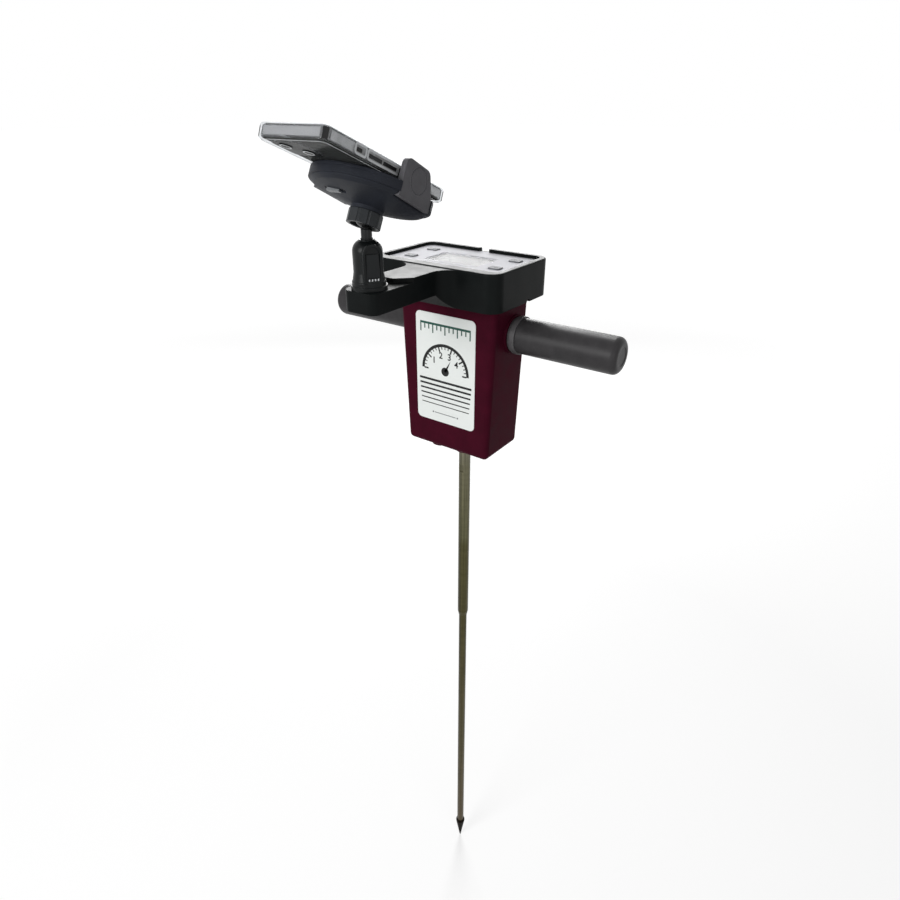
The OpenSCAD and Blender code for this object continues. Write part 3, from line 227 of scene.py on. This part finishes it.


# shafts and cone: tone by height, which paints an olive reflection and a lighter upper sleeve on the shafts
# and a highlight band near the cone's top, then marks (squeeze, scale, darkest, palest) multiplied over it
probeLook = {
    "gloss": (0.3, 0.44), "metal": 1.0, "edge": 0.0003, "grainDepth": 0.05, "mottleScale": 120,
    "stretch": (1, 1, 0.2), "levels": (0.0, 0.72), "markDetail": 4,
    # the broad streaks of scale 170 paint reflection bands round the shaft; the fine streaks and the rings
    # are marks in the steel
    "marks": [((1, 1, 0.02), 900, 0.72, 1.2), ((1, 1, 0.004), 170, 0.5, 1.45),
              ((0.05, 0.05, 1), 160, 0.86, 1.1)],
    "tonesWithPaintedReflection": [(0.0, (0.32, 0.28, 0.22)), (0.3, (0.28, 0.26, 0.185)), (0.62, (0.265, 0.25, 0.165)),
              (0.785, (0.28, 0.27, 0.18)), (0.80, (0.33, 0.325, 0.24)), (0.93, (0.36, 0.35, 0.28)),
              (0.97, (0.42, 0.41, 0.36))],
}
coneLook = {
    "gloss": (0.3, 0.45), "shine": 0.02, "edge": 0.0003, "grainDepth": 0.08, "mottleScale": 300,
    "levels": (0.0, 0.045), "markDetail": 4, "marks": [((1, 1, 0.3), 1500, 0.7, 1.2)],
    "tonesWithPaintedReflection": [(0.0, (0.05, 0.04, 0.035)), (0.6, (0.065, 0.054, 0.045)), (0.85, (0.09, 0.07, 0.052)),
              (1.0, (0.08, 0.065, 0.05))],
}


def makeProbeSteel(name, ownLook):
    look = {**plainLook, **ownLook}
    mat = makeBase(name, look)[0]
    tree = mat.node_tree
    place = addNode(tree, "ShaderNodeTexCoord", -1400, 800)
    split = addNode(tree, "ShaderNodeSeparateXYZ", -1220, 700)
    tree.links.new(place.outputs["Object"], split.inputs["Vector"])
    # tone by height: painted reflection on the shafts, painted highlight band on the cone
    height = addRange(tree, -1020, 700, split.outputs["Z"], 0.0, 1.0, *look["levels"])
    ramp = addNode(tree, "ShaderNodeValToRGB", -820, 700)
    while len(ramp.color_ramp.elements) < len(look["tonesWithPaintedReflection"]):
        ramp.color_ramp.elements.new(0.5)
    for element, (spot, stop) in zip(ramp.color_ramp.elements, look["tonesWithPaintedReflection"]):
        element.position = spot
        element.color = (*linear(stop), 1)
    tree.links.new(height, ramp.inputs["Fac"])
    tone = ramp.outputs["Color"]
    for row, (squeeze, scale, low, high) in enumerate(look["marks"]):
        level = 960 + 240 * row
        shape = addNode(tree, "ShaderNodeMapping", -1220, level)
        shape.inputs["Scale"].default_value = squeeze
        tree.links.new(place.outputs["Object"], shape.inputs["Vector"])
        mark = addNode(tree, "ShaderNodeTexNoise", -1020, level)
        mark.inputs["Scale"].default_value = scale
        mark.inputs["Detail"].default_value = look["markDetail"]
        tree.links.new(shape.outputs["Vector"], mark.inputs["Vector"])
        lift = addRange(tree, -820, level, mark.outputs["Fac"], low, high)
        blend = addNode(tree, "ShaderNodeMix", -560, level, data_type="RGBA", blend_type="MULTIPLY")
        blend.inputs["Factor"].default_value = 1.0
        tree.links.new(tone, blend.inputs["A"])
        tree.links.new(lift, blend.inputs["B"])
        tone = blend.outputs["Result"]
    tree.links.new(tone, tree.nodes["Principled BSDF"].inputs["Base Color"])
    return mat


# the phone's own directions: across, along toward the user, out of the screen
phoneAcross = right
phoneAlong = -Vector(joints["phone_slide"]["axis"]).normalized()
phoneOut = phoneAcross.cross(phoneAlong)

# how squarely a face of the shell has to point along or down before it counts as an end or as the back
shellFaces = {"end": (0.55, 0.75), "back": (0.4, 0.7)}


# the phone's shell: grey flanks and slightly darker ends, both painted pale as a reflection of the clear
# case, and a dark back
def makeShellPaintedReflection(name, look):
    mat = makeFinish(name, look)
    tree = mat.node_tree
    base = tree.nodes["Principled BSDF"].inputs["Base Color"]
    tone = base.links[0].from_socket
    place = addNode(tree, "ShaderNodeTexCoord", -1400, 900)
    for row, (part, axis) in enumerate((("end", phoneAlong), ("back", -phoneOut))):
        level = 900 + 200 * row
        facing = addNode(tree, "ShaderNodeVectorMath", -1200, level, operation="DOT_PRODUCT")
        facing.inputs[1].default_value = axis
        tree.links.new(place.outputs["Normal"], facing.inputs[0])
        turned = facing.outputs["Value"]
        if part == "end":
            either = addNode(tree, "ShaderNodeMath", -1020, level, operation="ABSOLUTE")
            tree.links.new(turned, either.inputs[0])
            turned = either.outputs[0]
        share = addRange(tree, -840, level, turned, 0.0, 1.0, *shellFaces[part])
        blend = addNode(tree, "ShaderNodeMix", -300, level, data_type="RGBA")
        blend.inputs["B"].default_value = (*linear(look[part]), 1)
        tree.links.new(share, blend.inputs["Factor"])
        tree.links.new(tone, blend.inputs["A"])
        tone = blend.outputs["Result"]
    tree.links.new(tone, base)
    return mat


makers = {"caseClear": makeClear, "glassFront": makeClear, "phoneShellPaintedReflection": makeShellPaintedReflection}
finishes = {key: makers.get(key, makeFinish)(key, look) for key, look in looks.items()}
finishes["probeSteel"] = makeProbeSteel("probeSteel", probeLook)
finishes["coneSteel"] = makeProbeSteel("coneSteel", coneLook)

wears = {
    "maroonCase": ["housing_shell", "battery_door"],
    "labelFilm": ["front_label"],
    "inkBlack": ["label_bars"],
    "coverBlack": ["top_cover"],
    "panelPrint": ["display_panel"],
    "glassFront": ["lcd_window"],
    "lcdGrey": ["lcd_module"],
    "boardGreen": ["main_board"],
    "innerBlack": ["battery_holder", "depth_sensor", "head_tray"],
    "cellWrap": ["battery_cells"],
    "screwSteel": ["door_screws", "cover_screws", "post_bolt"],
    "screwBlack": ["cradle_screws"],
    "alloyGrey": ["tube_clamp", "load_cell"],
    "tubeSteel": ["handle_tube"],
    "gripRubber": ["grip_left", "grip_right"],
    "collarBlack": ["collar_left", "collar_right"],
    "bushBronze": ["shaft_bush"],
    "probeSteel": ["upper_shaft", "lower_shaft"],
    "coneSteel": ["cone_tip"],
    "postBlack": ["mount_post"],
    "insertGrey": ["post_inserts"],
    "keyRubber": ["button_left_back", "button_left_front", "button_right_back", "button_right_front"],
    "ballBlack": ["ball_stem"],
    "nutBlack": ["clamp_nut"],
    "cradleBlack": ["cradle_back", "cradle_face"],
    "jawBlack": ["jaw_left", "jaw_right"],
    "softPad": ["face_pad", "jaw_left_pad", "jaw_right_pad"],
    "pinionCream": ["pinion"],
    "tabGrey": ["release_tab"],
    "phoneShellPaintedReflection": ["phone_body"],
    "phoneDark": ["phone_keys"],
    "phoneGlass": ["phone_screen"],
    "lensBlack": ["phone_camera"],
    "caseClear": ["phone_case"],
}
for finish, members in wears.items():
    for member in members:
        nodes[member].data.materials.clear()
        nodes[member].data.materials.append(finishes[finish])
print("finishes on:", sum(len(m) for m in wears.values()), "nodes")


# thin printed or moulded pieces, drawn flat and laid on a face

printDepth = {"low": -0.00002, "high": 0.00006}  # how far they sink in and stand proud, in metres


# lengths in metres, from a dictionary in mm; counts, turns and lists named in keep stay as they are
def inMetres(settings, keep=()):
    return {key: value if key in keep else value * mm for key, value in settings.items()}


def layOn(corner, across, along, out):
    return lambda u, v, h: corner + across * u + along * v + out * h


# middle of a node's box, at its top or its foot
def boxMiddle(node, top=True):
    low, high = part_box(node)
    return Vector(((low.x + high.x) / 2, (low.y + high.y) / 2, high.z if top else low.z))


def rectLoop(u, v, w, h):
    return [(u - w / 2, v - h / 2), (u + w / 2, v - h / 2), (u + w / 2, v + h / 2), (u - w / 2, v + h / 2)]


def arcLoop(u, v, r, fromDeg, toDeg, steps=40):
    turns = [math.radians(fromDeg + (toDeg - fromDeg) * i / steps) for i in range(steps + 1)]
    return [(u + r * math.cos(a), v + r * math.sin(a)) for a in turns]


def discLoop(u, v, r, steps=32):
    return arcLoop(u, v, r, 0, 360, steps)[:-1]


def roundLoop(u, v, w, h, r, steps=6):
    loop = []
    for turn, cu, cv in ((0, w / 2 - r, h / 2 - r), (90, r - w / 2, h / 2 - r),
                         (180, r - w / 2, r - h / 2), (270, w / 2 - r, r - h / 2)):
        loop += arcLoop(u + cu, v + cv, r, turn, turn + 90, steps)
    return loop


def addPlate(bm, loop, lay, low=printDepth["low"], high=printDepth["high"]):
    bottom = [bm.verts.new(lay(u, v, low)) for u, v in loop]
    top = [bm.verts.new(lay(u, v, high)) for u, v in loop]
    bm.faces.new(top)
    bm.faces.new(bottom[::-1])
    for i in range(len(loop)):
        j = (i + 1) % len(loop)
        bm.faces.new((bottom[i], bottom[j], top[j], top[i]))


# a band between two loops of equal count, closed or open
def addBand(bm, inner, outer, lay, low=printDepth["low"], high=printDepth["high"], closed=True):
    rows = [[bm.verts.new(lay(u, v, h)) for u, v in loop]
            for loop, h in ((inner, low), (outer, low), (outer, high), (inner, high))]
    count = len(inner)
    for i in range(count if closed else count - 1):
        j = (i + 1) % count
        for a, b in ((0, 1), (1, 2), (2, 3), (3, 0)):
            bm.faces.new((rows[a][i], rows[a][j], rows[b][j], rows[b][i]))
    if not closed:
        bm.faces.new([row[0] for row in rows])
        bm.faces.new([row[-1] for row in rows][::-1])


# plain digits as a thin flat mesh
def addDigits(bm, text, u, v, size, bold, lay):
    curve = bpy.data.curves.new("digits", "FONT")
    curve.body = text
    curve.size = size
    curve.offset = bold
    curve.align_x = "CENTER"
    curve.align_y = "CENTER"
    holder = bpy.data.objects.new("digits", curve)
    bpy.context.scene.collection.objects.link(holder)
    bpy.context.view_layer.update()
    flat = bpy.data.meshes.new_from_object(holder.evaluated_get(bpy.context.evaluated_depsgraph_get()))
    bpy.data.objects.remove(holder)
    bpy.data.curves.remove(curve)
    sheet = bmesh.new()
    sheet.from_mesh(flat)
    bpy.data.meshes.remove(flat)
    bmesh.ops.remove_doubles(sheet, verts=sheet.verts, dist=1e-6)
    upper = {w.index: bm.verts.new(lay(u + w.co.x, v + w.co.y, printDepth["high"])) for w in sheet.verts}
    lower = {w.index: bm.verts.new(lay(u + w.co.x, v + w.co.y, printDepth["low"])) for w in sheet.verts}
    for face in sheet.faces:
        bm.faces.new([upper[w.index] for w in face.verts])
        bm.faces.new([lower[w.index] for w in reversed(face.verts)])
    for edge in sheet.edges:
        if len(edge.link_faces) == 1:
            a, b = (w.index for w in edge.verts)
            bm.faces.new((upper[a], upper[b], lower[b], lower[a]))
    sheet.free()


def putPiece(name, bm, finish, body):
    bmesh.ops.recalc_face_normals(bm, faces=bm.faces)
    mesh = bpy.data.meshes.new(name)
    bm.to_mesh(mesh)
    bm.free()
    mesh.materials.append(finishes[finish])
    piece = bpy.data.objects.new(name, mesh)
    bpy.context.scene.collection.objects.link(piece)
    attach(piece, body)


# the front label, measured up from the middle of its foot
def layOnLabel():
    low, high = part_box("front_label")
    return layOn(Vector(((low.x + high.x) / 2, low.y, low.z)), right, upward, -ahead)


# green rule at the top of the label
labelRule = {"up": 101.5, "wide": 59, "thick": 2.2, "ticks": 13, "longEvery": 3, "tickLong": 8.0,
             "tickShort": 4.6, "tickThick": 1.3}


def printRule():
    s = inMetres(labelRule, ("ticks", "longEvery"))
    lay = layOnLabel()
    bm = bmesh.new()
    addPlate(bm, rectLoop(0, s["up"], s["wide"], s["thick"]), lay)
    for i in range(s["ticks"]):
        u = (i / (s["ticks"] - 1) - 0.5) * (s["wide"] - s["tickThick"])
        tall = s["tickLong"] if i % s["longEvery"] == 0 else s["tickShort"]
        addPlate(bm, rectLoop(u, s["up"] - (s["thick"] + tall) / 2, s["tickThick"], tall), lay)
    putPiece("labelRule", bm, "inkGreen", "meter")


printRule()

# plain dial with numbers in the middle of the label
labelDial = {"up": 55.5, "radius": 28, "thick": 3.0, "steps": 20, "longEvery": 4, "markLong": 4.8,
             "markShort": 2.4, "markWide": 1.5, "markThin": 0.9, "markBite": 0.25, "digitSize": 9.0,
             "digitBold": 0.18, "digitRadius": 16.4, "needleTurn": 62, "needleLong": 14, "needleWide": 3.0,
             "hubRadius": 4.5}


def printDial():
    s = inMetres(labelDial, ("steps", "longEvery", "needleTurn"))
    lay = layOnLabel()
    up, inner = s["up"], s["radius"] - s["thick"]
    bm = bmesh.new()
    addBand(bm, arcLoop(0, up, inner, 180, 0), arcLoop(0, up, s["radius"], 180, 0), lay, closed=False)
    for i in range(s["steps"] + 1):
        a = math.radians(180 - 180 * i / s["steps"])
        isLong = i % s["longEvery"] == 0
        line = Vector((math.cos(a), math.sin(a)))
        side = Vector((-line.y, line.x)) * (s["markWide"] if isLong else s["markThin"]) / 2
        far = line * (inner + s["markBite"])
        near = line * (inner - (s["markLong"] if isLong else s["markShort"]))
        loop = [(w.x, up + w.y) for w in (far + side, far - side, near - side, near + side)]
        addPlate(bm, loop, lay)
        if isLong and 0 < i < s["steps"]:
            spot = line * s["digitRadius"]
            addDigits(bm, str(i // s["longEvery"]), spot.x, up + spot.y, s["digitSize"], s["digitBold"], lay)
    a = math.radians(s["needleTurn"])
    tip = (math.cos(a) * s["needleLong"], up + math.sin(a) * s["needleLong"])
    side = (-math.sin(a) * s["needleWide"] / 2, math.cos(a) * s["needleWide"] / 2)
    addPlate(bm, [(side[0], up + side[1]), (-side[0], up - side[1]), tip], lay)
    addPlate(bm, discLoop(0, up, s["hubRadius"]), lay)
    putPiece("labelDial", bm, "inkBlack", "meter")


printDial()

# grey line with a dot at each end, at the foot of the label
labelFoot = {"up": 9.5, "wide": 26, "thick": 0.8, "dotOut": 1.92, "dotRadius": 0.96, "dotSteps": 16}


def printFoot():
    s = inMetres(labelFoot, ("dotSteps",))
    lay = layOnLabel()
    bm = bmesh.new()
    addPlate(bm, rectLoop(0, s["up"], s["wide"], s["thick"]), lay)
    for side in (-1, 1):
        u = side * (s["wide"] / 2 + s["dotOut"])
        addPlate(bm, discLoop(u, s["up"], s["dotRadius"], s["dotSteps"]), lay)
    putPiece("labelFoot", bm, "inkGrey", "meter")


printFoot()

# one plain sign on each key
keySigns = {"size": 4.6, "arrowFoot": 1.5333, "arrowTip": 2.0909, "thick": 0.9, "ring": 1.7, "ringFrom": 130,
            "ringTo": 410, "squareTall": 3.312, "squareRound": 0.72}


def printKey(node, sign):
    s = inMetres(keySigns, ("ringFrom", "ringTo"))
    lay = layOn(boxMiddle(node), right, ahead, upward)
    half, foot, tip = s["size"] / 2, s["arrowFoot"], s["arrowTip"]
    bm = bmesh.new()
    if sign == "up":
        addPlate(bm, [(-half, -foot), (half, -foot), (0, tip)], lay)
    elif sign == "down":
        addPlate(bm, [(half, foot), (-half, foot), (0, -tip)], lay)
    elif sign == "ring":
        inner, outer = (arcLoop(0, 0, s["ring"] + by * s["thick"] / 2, s["ringFrom"], s["ringTo"])
                        for by in (-1, 1))
        addBand(bm, inner, outer, lay, closed=False)
        addPlate(bm, rectLoop(0, s["ring"], s["thick"], 2 * s["ring"]), lay)
    else:
        addPlate(bm, roundLoop(0, 0, s["size"], s["squareTall"], s["squareRound"]), lay)
    putPiece(node + "_sign", bm, "keyPrint", node.replace("button", "key"))


for key, sign in (("button_left_back", "ring"), ("button_left_front", "square"),
                  ("button_right_back", "up"), ("button_right_front", "down")):
    printKey(key, sign)

# a fine rule on the panel, in front of the display
panelRule = {"wide": 46, "thick": 0.5, "ticks": 24, "longEvery": 4, "tickLong": 2.6, "tickShort": 1.4,
             "fore": 4.2}


def printPanel():
    s = inMetres(panelRule, ("ticks", "longEvery"))
    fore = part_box("lcd_window")[0].y - s["fore"]
    lay = layOn(Vector((0, fore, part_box("display_panel")[1].z)), right, ahead, upward)
    bm = bmesh.new()
    addPlate(bm, rectLoop(0, 0, s["wide"], s["thick"]), lay)
    for i in range(s["ticks"] + 1):
        u = (i / s["ticks"] - 0.5) * (s["wide"] - s["thick"])
        tall = s["tickLong"] if i % s["longEvery"] == 0 else s["tickShort"]
        addPlate(bm, rectLoop(u, -(tall + s["thick"]) / 2, s["thick"], tall), lay)
    putPiece("panelRule", bm, "inkGrey", "meter")


printPanel()

# the display's face, under the window that lies tight on it
displayFace = {"inset": 0.6}


def faceDisplay():
    inset = 2 * displayFace["inset"] * mm
    low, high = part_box("lcd_window")
    middle = boxMiddle("lcd_window")
    lay = layOn(Vector((middle.x, middle.y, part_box("lcd_module")[1].z)), right, ahead, upward)
    bm = bmesh.new()
    addPlate(bm, rectLoop(0, 0, high.x - low.x - inset, high.y - low.y - inset), lay)
    putPiece("displayFace", bm, "lcdGrey", "meter")


faceDisplay()
print("printed: label, keys, panel")

# painted highlights on the tips of the small ribs at the foot of each post insert
ribTipHighlights = {"turn": -30, "count": 4, "pitch": 2.4, "wide": 1.1, "tall": 1.6, "out": 12.85, "up": 9.3}


def tipRibs():
    s = inMetres(ribTipHighlights, ("turn", "count"))
    foot = boxMiddle("mount_post", top=False)
    bm = bmesh.new()
    for half in (0, 180):
        turn = math.radians(s["turn"] + half)
        face = Vector((math.cos(turn), math.sin(turn), 0))
        lay = layOn(foot + face * s["out"], Vector((-face.y, face.x, 0)), upward, face)
        for i in range(s["count"]):
            u = (i - (s["count"] - 1) / 2) * s["pitch"]
            addPlate(bm, rectLoop(u, s["up"], s["wide"], s["tall"]), lay)
    putPiece("ribTipHighlights", bm, "paintedHighlight", "meter")


tipRibs()


# phone details, laid out in the phone's own directions

caseShape = {"radius": 6.5, "keysUp": -4.9}  # corner radius, line of the keys from the case's top face


# reach of a phone node along each of the phone's directions
def phoneSpans(node):
    spans = []
    for axis in (phoneAcross, phoneAlong, phoneOut):
        marks = [axis.dot(w.co) for w in nodes[node].data.vertices]
        spans.append((min(marks), max(marks)))
    return spans


# dark strips at the case's corners, between the ends and the flanks
phoneCorners = {"spread": 34, "inset": 1.7, "proud": 0.04, "steps": 8}


def stripCorners():
    s = inMetres(phoneCorners, ("spread", "steps"))
    (x0, x1), (y0, y1), (z0, z1) = phoneSpans("phone_case")
    radius = caseShape["radius"] * mm
    lay = layOn(Vector((0, 0, 0)), phoneAcross, phoneAlong, phoneOut)
    bm = bmesh.new()
    for u, v, turn in ((x1 - radius, y0 + radius, 315), (x0 + radius, y0 + radius, 225),
                       (x1 - radius, y1 - radius, 45), (x0 + radius, y1 - radius, 135)):
        start, end = turn - s["spread"] / 2, turn + s["spread"] / 2
        inner, outer = (arcLoop(u, v, radius + by * s["proud"], start, end, s["steps"]) for by in (-1, 1))
        addBand(bm, inner, outer, lay, z0 + s["inset"], z1 - s["inset"], closed=False)
    putPiece("phoneCorners", bm, "phoneDark", "phone")


stripCorners()

# a skin on the shell's flat faces, because the case lies tight on them; it carries the shell's painted
# reflection
phoneSkin = {"round": 4.9, "edge": 1.2}


def skinPhone():
    s = inMetres(phoneSkin)
    (x0, x1), (y0, y1), (z0, z1) = phoneSpans("phone_body")
    midX, midY, midZ = (x0 + x1) / 2, (y0 + y1) / 2, (z0 + z1) / 2
    turn, edge = 2 * s["round"], 2 * s["edge"]
    flank = rectLoop(midY, midZ, y1 - y0 - turn, z1 - z0 - edge)
    end = rectLoop(midX, midZ, x1 - x0 - turn, z1 - z0 - edge)
    back = roundLoop(midX, midY, x1 - x0 - edge, y1 - y0 - edge, s["round"] - s["edge"])
    bm = bmesh.new()
    for spot, way in ((x0, -1), (x1, 1)):
        addPlate(bm, flank, layOn(phoneAcross * spot, phoneAlong, phoneOut, phoneAcross * way))
    for spot, way in ((y0, -1), (y1, 1)):
        addPlate(bm, end, layOn(phoneAlong * spot, phoneAcross, phoneOut, phoneAlong * way))
    addPlate(bm, back, layOn(phoneOut * z0, phoneAcross, phoneAlong, -phoneOut))
    putPiece("phoneSkin", bm, "phoneShellPaintedReflection", "phone")


skinPhone()

# painted highlights as pale rims round the key openings in one flank, each with its middle and its length
openingHighlights = {"openings": ((-34, 9), (-10, 32)), "tall": 4.6, "round": 0.8, "wide": 1.5, "proud": 0.02}


def rimOpenings():
    s = inMetres(openingHighlights, ("openings",))
    (x0, x1), (y0, y1), (z0, z1) = phoneSpans("phone_case")
    lay = layOn(phoneAcross * x1, phoneAlong, phoneOut, phoneAcross)
    wide = s["wide"]
    bm = bmesh.new()
    for spot, length in s["openings"]:
        u, v, long = (y0 + y1) / 2 + spot * mm, z1 + caseShape["keysUp"] * mm, length * mm
        inner = roundLoop(u, v, long, s["tall"], s["round"])
        outer = roundLoop(u, v, long + 2 * wide, s["tall"] + 2 * wide, s["round"] + wide)
        addBand(bm, inner, outer, lay, high=s["proud"])
    putPiece("openingHighlights", bm, "paintedHighlight", "phone")


rimOpenings()

# painted highlight: a pale line where the back of the case turns into its sides
caseEdgeHighlight = {"inset": 2.1, "line": 0.7}


def lineCase():
    s = inMetres(caseEdgeHighlight)
    (x0, x1), (y0, y1), (z0, z1) = phoneSpans("phone_case")
    lay = layOn(phoneOut * z0, phoneAcross, -phoneAlong, -phoneOut)
    radius, middle = caseShape["radius"] * mm, -(y0 + y1) / 2
    inner, outer = (roundLoop(0, middle, x1 - x0 - 2 * by, y1 - y0 - 2 * by, radius - by)
                    for by in (s["inset"] + s["line"], s["inset"]))
    bm = bmesh.new()
    addBand(bm, inner, outer, lay)
    putPiece("caseEdgeHighlight", bm, "paintedHighlight", "phone")


lineCase()

# port and speaker holes in the lower end
phonePort = {"wide": 8.4, "tall": 2.6, "round": 1.2935, "holes": (8, 10.4, 12.8, 15.2), "holeRadius": 0.7,
             "holeSteps": 16, "proud": 0.01}


def portPhone():
    s = inMetres(phonePort, ("holes", "holeSteps"))
    (x0, x1), (y0, y1), (z0, z1) = phoneSpans("phone_case")
    lay = layOn(phoneAlong * y1, phoneAcross, -phoneOut, phoneAlong)
    down = -(z1 + caseShape["keysUp"] * mm)
    bm = bmesh.new()
    addPlate(bm, roundLoop(0, down, s["wide"], s["tall"], s["round"]), lay, high=s["proud"])
    for spot in s["holes"]:
        for side in (-1, 1):
            hole = discLoop(side * spot * mm, down, s["holeRadius"], s["holeSteps"])
            addPlate(bm, hole, lay, high=s["proud"])
    putPiece("phonePort", bm, "phoneDark", "phone")


portPhone()

# ear slit and front lens on the screen
phoneEar = {"slitWide": 9, "slitTall": 0.7, "slitRound": 0.3483, "slitSteps": 4, "inset": 3.2, "dotOut": 8.5,
            "dotRadius": 0.9, "dotSteps": 20}


def earPhone():
    s = inMetres(phoneEar, ("slitSteps", "dotSteps"))
    (x0, x1), (y0, y1), (z0, z1) = phoneSpans("phone_screen")
    lay = layOn(phoneOut * z1, phoneAcross, phoneAlong, phoneOut)
    v = y0 + s["inset"]
    bm = bmesh.new()
    addPlate(bm, roundLoop(0, v, s["slitWide"], s["slitTall"], s["slitRound"], s["slitSteps"]), lay)
    addPlate(bm, discLoop(s["dotOut"], v, s["dotRadius"], s["dotSteps"]), lay)
    putPiece("phoneEar", bm, "inkGrey", "phone")


earPhone()

# rings round the two rear lenses, set apart by a share of the lens block
lensRings = {"radius": 3.2, "ring": 1.0, "share": 0.2}


def ringLenses():
    s = inMetres(lensRings, ("share",))
    (x0, x1), (y0, y1), (z0, z1) = phoneSpans("phone_camera")
    lay = layOn(phoneOut * z0, phoneAcross, -phoneAlong, -phoneOut)
    bm = bmesh.new()
    for side in (-1, 1):
        u = (x0 + x1) / 2 + side * s["share"] * (x1 - x0)
        v = -((y0 + y1) / 2 + side * s["share"] * (y1 - y0))
        addBand(bm, discLoop(u, v, s["radius"]), discLoop(u, v, s["radius"] + s["ring"]), lay)
    putPiece("lensRings", bm, "alloyGrey", "phone")


ringLenses()
print("phone dressed")


# studio

studio = {"floorSize": 60.0, "floorDrop": 0.0005, "floorTone": 0.4, "floorRough": 0.9, "floorShine": 0.1,
          "nearGlow": 0.56, "farGlow": 0.92, "glowFrom": 0.8, "glowTo": 3.5, "worldLight": 0.3}


# 1 where the camera, a glossy face or a clear piece looks
def seenRays(tree):
    path = addNode(tree, "ShaderNodeLightPath", -600, 400)
    total = path.outputs["Is Camera Ray"]
    for row, kind in enumerate(("Is Glossy Ray", "Is Transmission Ray")):
        either = addNode(tree, "ShaderNodeMath", -400 + 180 * row, 400, operation="MAXIMUM")
        tree.links.new(total, either.inputs[0])
        tree.links.new(path.outputs[kind], either.inputs[1])
        total = either.outputs[0]
    return total


# pale floor that keeps the shadow, with a glow that only the seen rays meet
def makeFloor():
    mesh = bpy.data.meshes.new("floor")
    half, drop = studio["floorSize"] / 2, -studio["floorDrop"]
    mesh.from_pydata([(-half, -half, drop), (half, -half, drop), (half, half, drop), (-half, half, drop)],
                     [], [(0, 1, 2, 3)])
    floor = bpy.data.objects.new("floor", mesh)
    bpy.context.scene.collection.objects.link(floor)
    mat = bpy.data.materials.new("paleFloor")
    mat.use_nodes = True
    tree = mat.node_tree
    shader = tree.nodes["Principled BSDF"]
    tone = studio["floorTone"]
    shader.inputs["Base Color"].default_value = (tone, tone, tone, 1)
    shader.inputs["Roughness"].default_value = studio["floorRough"]
    shader.inputs["Specular IOR Level"].default_value = studio["floorShine"]
    glow = addNode(tree, "ShaderNodeEmission", 0, 300)
    place = addNode(tree, "ShaderNodeTexCoord", -800, 700)
    away = addNode(tree, "ShaderNodeVectorMath", -600, 700, operation="LENGTH")
    tree.links.new(place.outputs["Object"], away.inputs[0])
    level = addRange(tree, -400, 700, away.outputs["Value"], studio["nearGlow"], studio["farGlow"],
                     studio["glowFrom"], studio["glowTo"])
    shown = addNode(tree, "ShaderNodeMath", -200, 600, operation="MULTIPLY")
    tree.links.new(level, shown.inputs[0])
    tree.links.new(seenRays(tree), shown.inputs[1])
    tree.links.new(shown.outputs[0], glow.inputs["Strength"])
    both = addNode(tree, "ShaderNodeAddShader", 300, 200)
    tree.links.new(shader.outputs["BSDF"], both.inputs[0])
    tree.links.new(glow.outputs["Emission"], both.inputs[1])
    tree.links.new(both.outputs["Shader"], tree.nodes["Material Output"].inputs["Surface"])
    mesh.materials.append(mat)


def makeWorld():
    world = bpy.data.worlds.new("studio")
    bpy.context.scene.world = world
    world.use_nodes = True
    tree = world.node_tree
    back = tree.nodes["Background"]
    back.inputs["Color"].default_value = (1, 1, 1, 1)
    level = addRange(tree, 0, 400, seenRays(tree), studio["worldLight"], 1.0, 0.0, 1.0)
    tree.links.new(level, back.inputs["Strength"])


lamps = {
    "topLamp": {"place": (-0.7, 1.16, 2.25), "aim": (0.05, 0, 0.83), "size": 0.6, "power": 12},
    "sideLamp": {"place": (2.0, -1.2, 1.3), "aim": (0, 0, 0.8), "size": 1.5, "power": 10},
    "frontLamp": {"place": (-0.35, -2.1, 1.5), "aim": (0, 0, 0.75), "size": 1.3, "power": 35},
    "backLamp": {"place": (-1.2, 1.6, 1.5), "aim": (0, -0.05, 0.9), "size": 1.4, "power": 32},
}


def addLamp(name, lamp):
    light = bpy.data.lights.new(name, "AREA")
    light.shape = "DISK"
    light.size = lamp["size"]
    light.energy = lamp["power"]
    holder = bpy.data.objects.new(name, light)
    holder.location = lamp["place"]
    holder.rotation_mode = "QUATERNION"
    holder.rotation_quaternion = (Vector(lamp["aim"]) - Vector(lamp["place"])).to_track_quat("-Z", "Y")
    bpy.context.scene.collection.objects.link(holder)


makeFloor()
makeWorld()
for name, lamp in lamps.items():
    addLamp(name, lamp)

# the photo's camera, fitted to the object's straight edges; turn and dip in degrees
shot = {"place": (0.35368, -0.51851, 1.02436), "turn": 35.77, "dip": 28.125, "lens": 26.14, "sensor": 36,
        "near": 0.01}


def setCamera():
    data = bpy.data.cameras.new("shot")
    data.lens = shot["lens"]
    data.sensor_width = shot["sensor"]
    data.clip_start = shot["near"]
    cam = bpy.data.objects.new("shot", data)
    turn, dip = math.radians(shot["turn"]), math.radians(shot["dip"])
    view = Vector((-math.sin(turn) * math.cos(dip), math.cos(turn) * math.cos(dip), -math.sin(dip)))
    cam.location = shot["place"]
    cam.rotation_mode = "QUATERNION"
    cam.rotation_quaternion = view.to_track_quat("-Z", "Y")
    bpy.context.scene.collection.objects.link(cam)
    bpy.context.scene.camera = cam


setCamera()
bpy.context.scene.view_settings.view_transform = "Standard"
print("studio set")
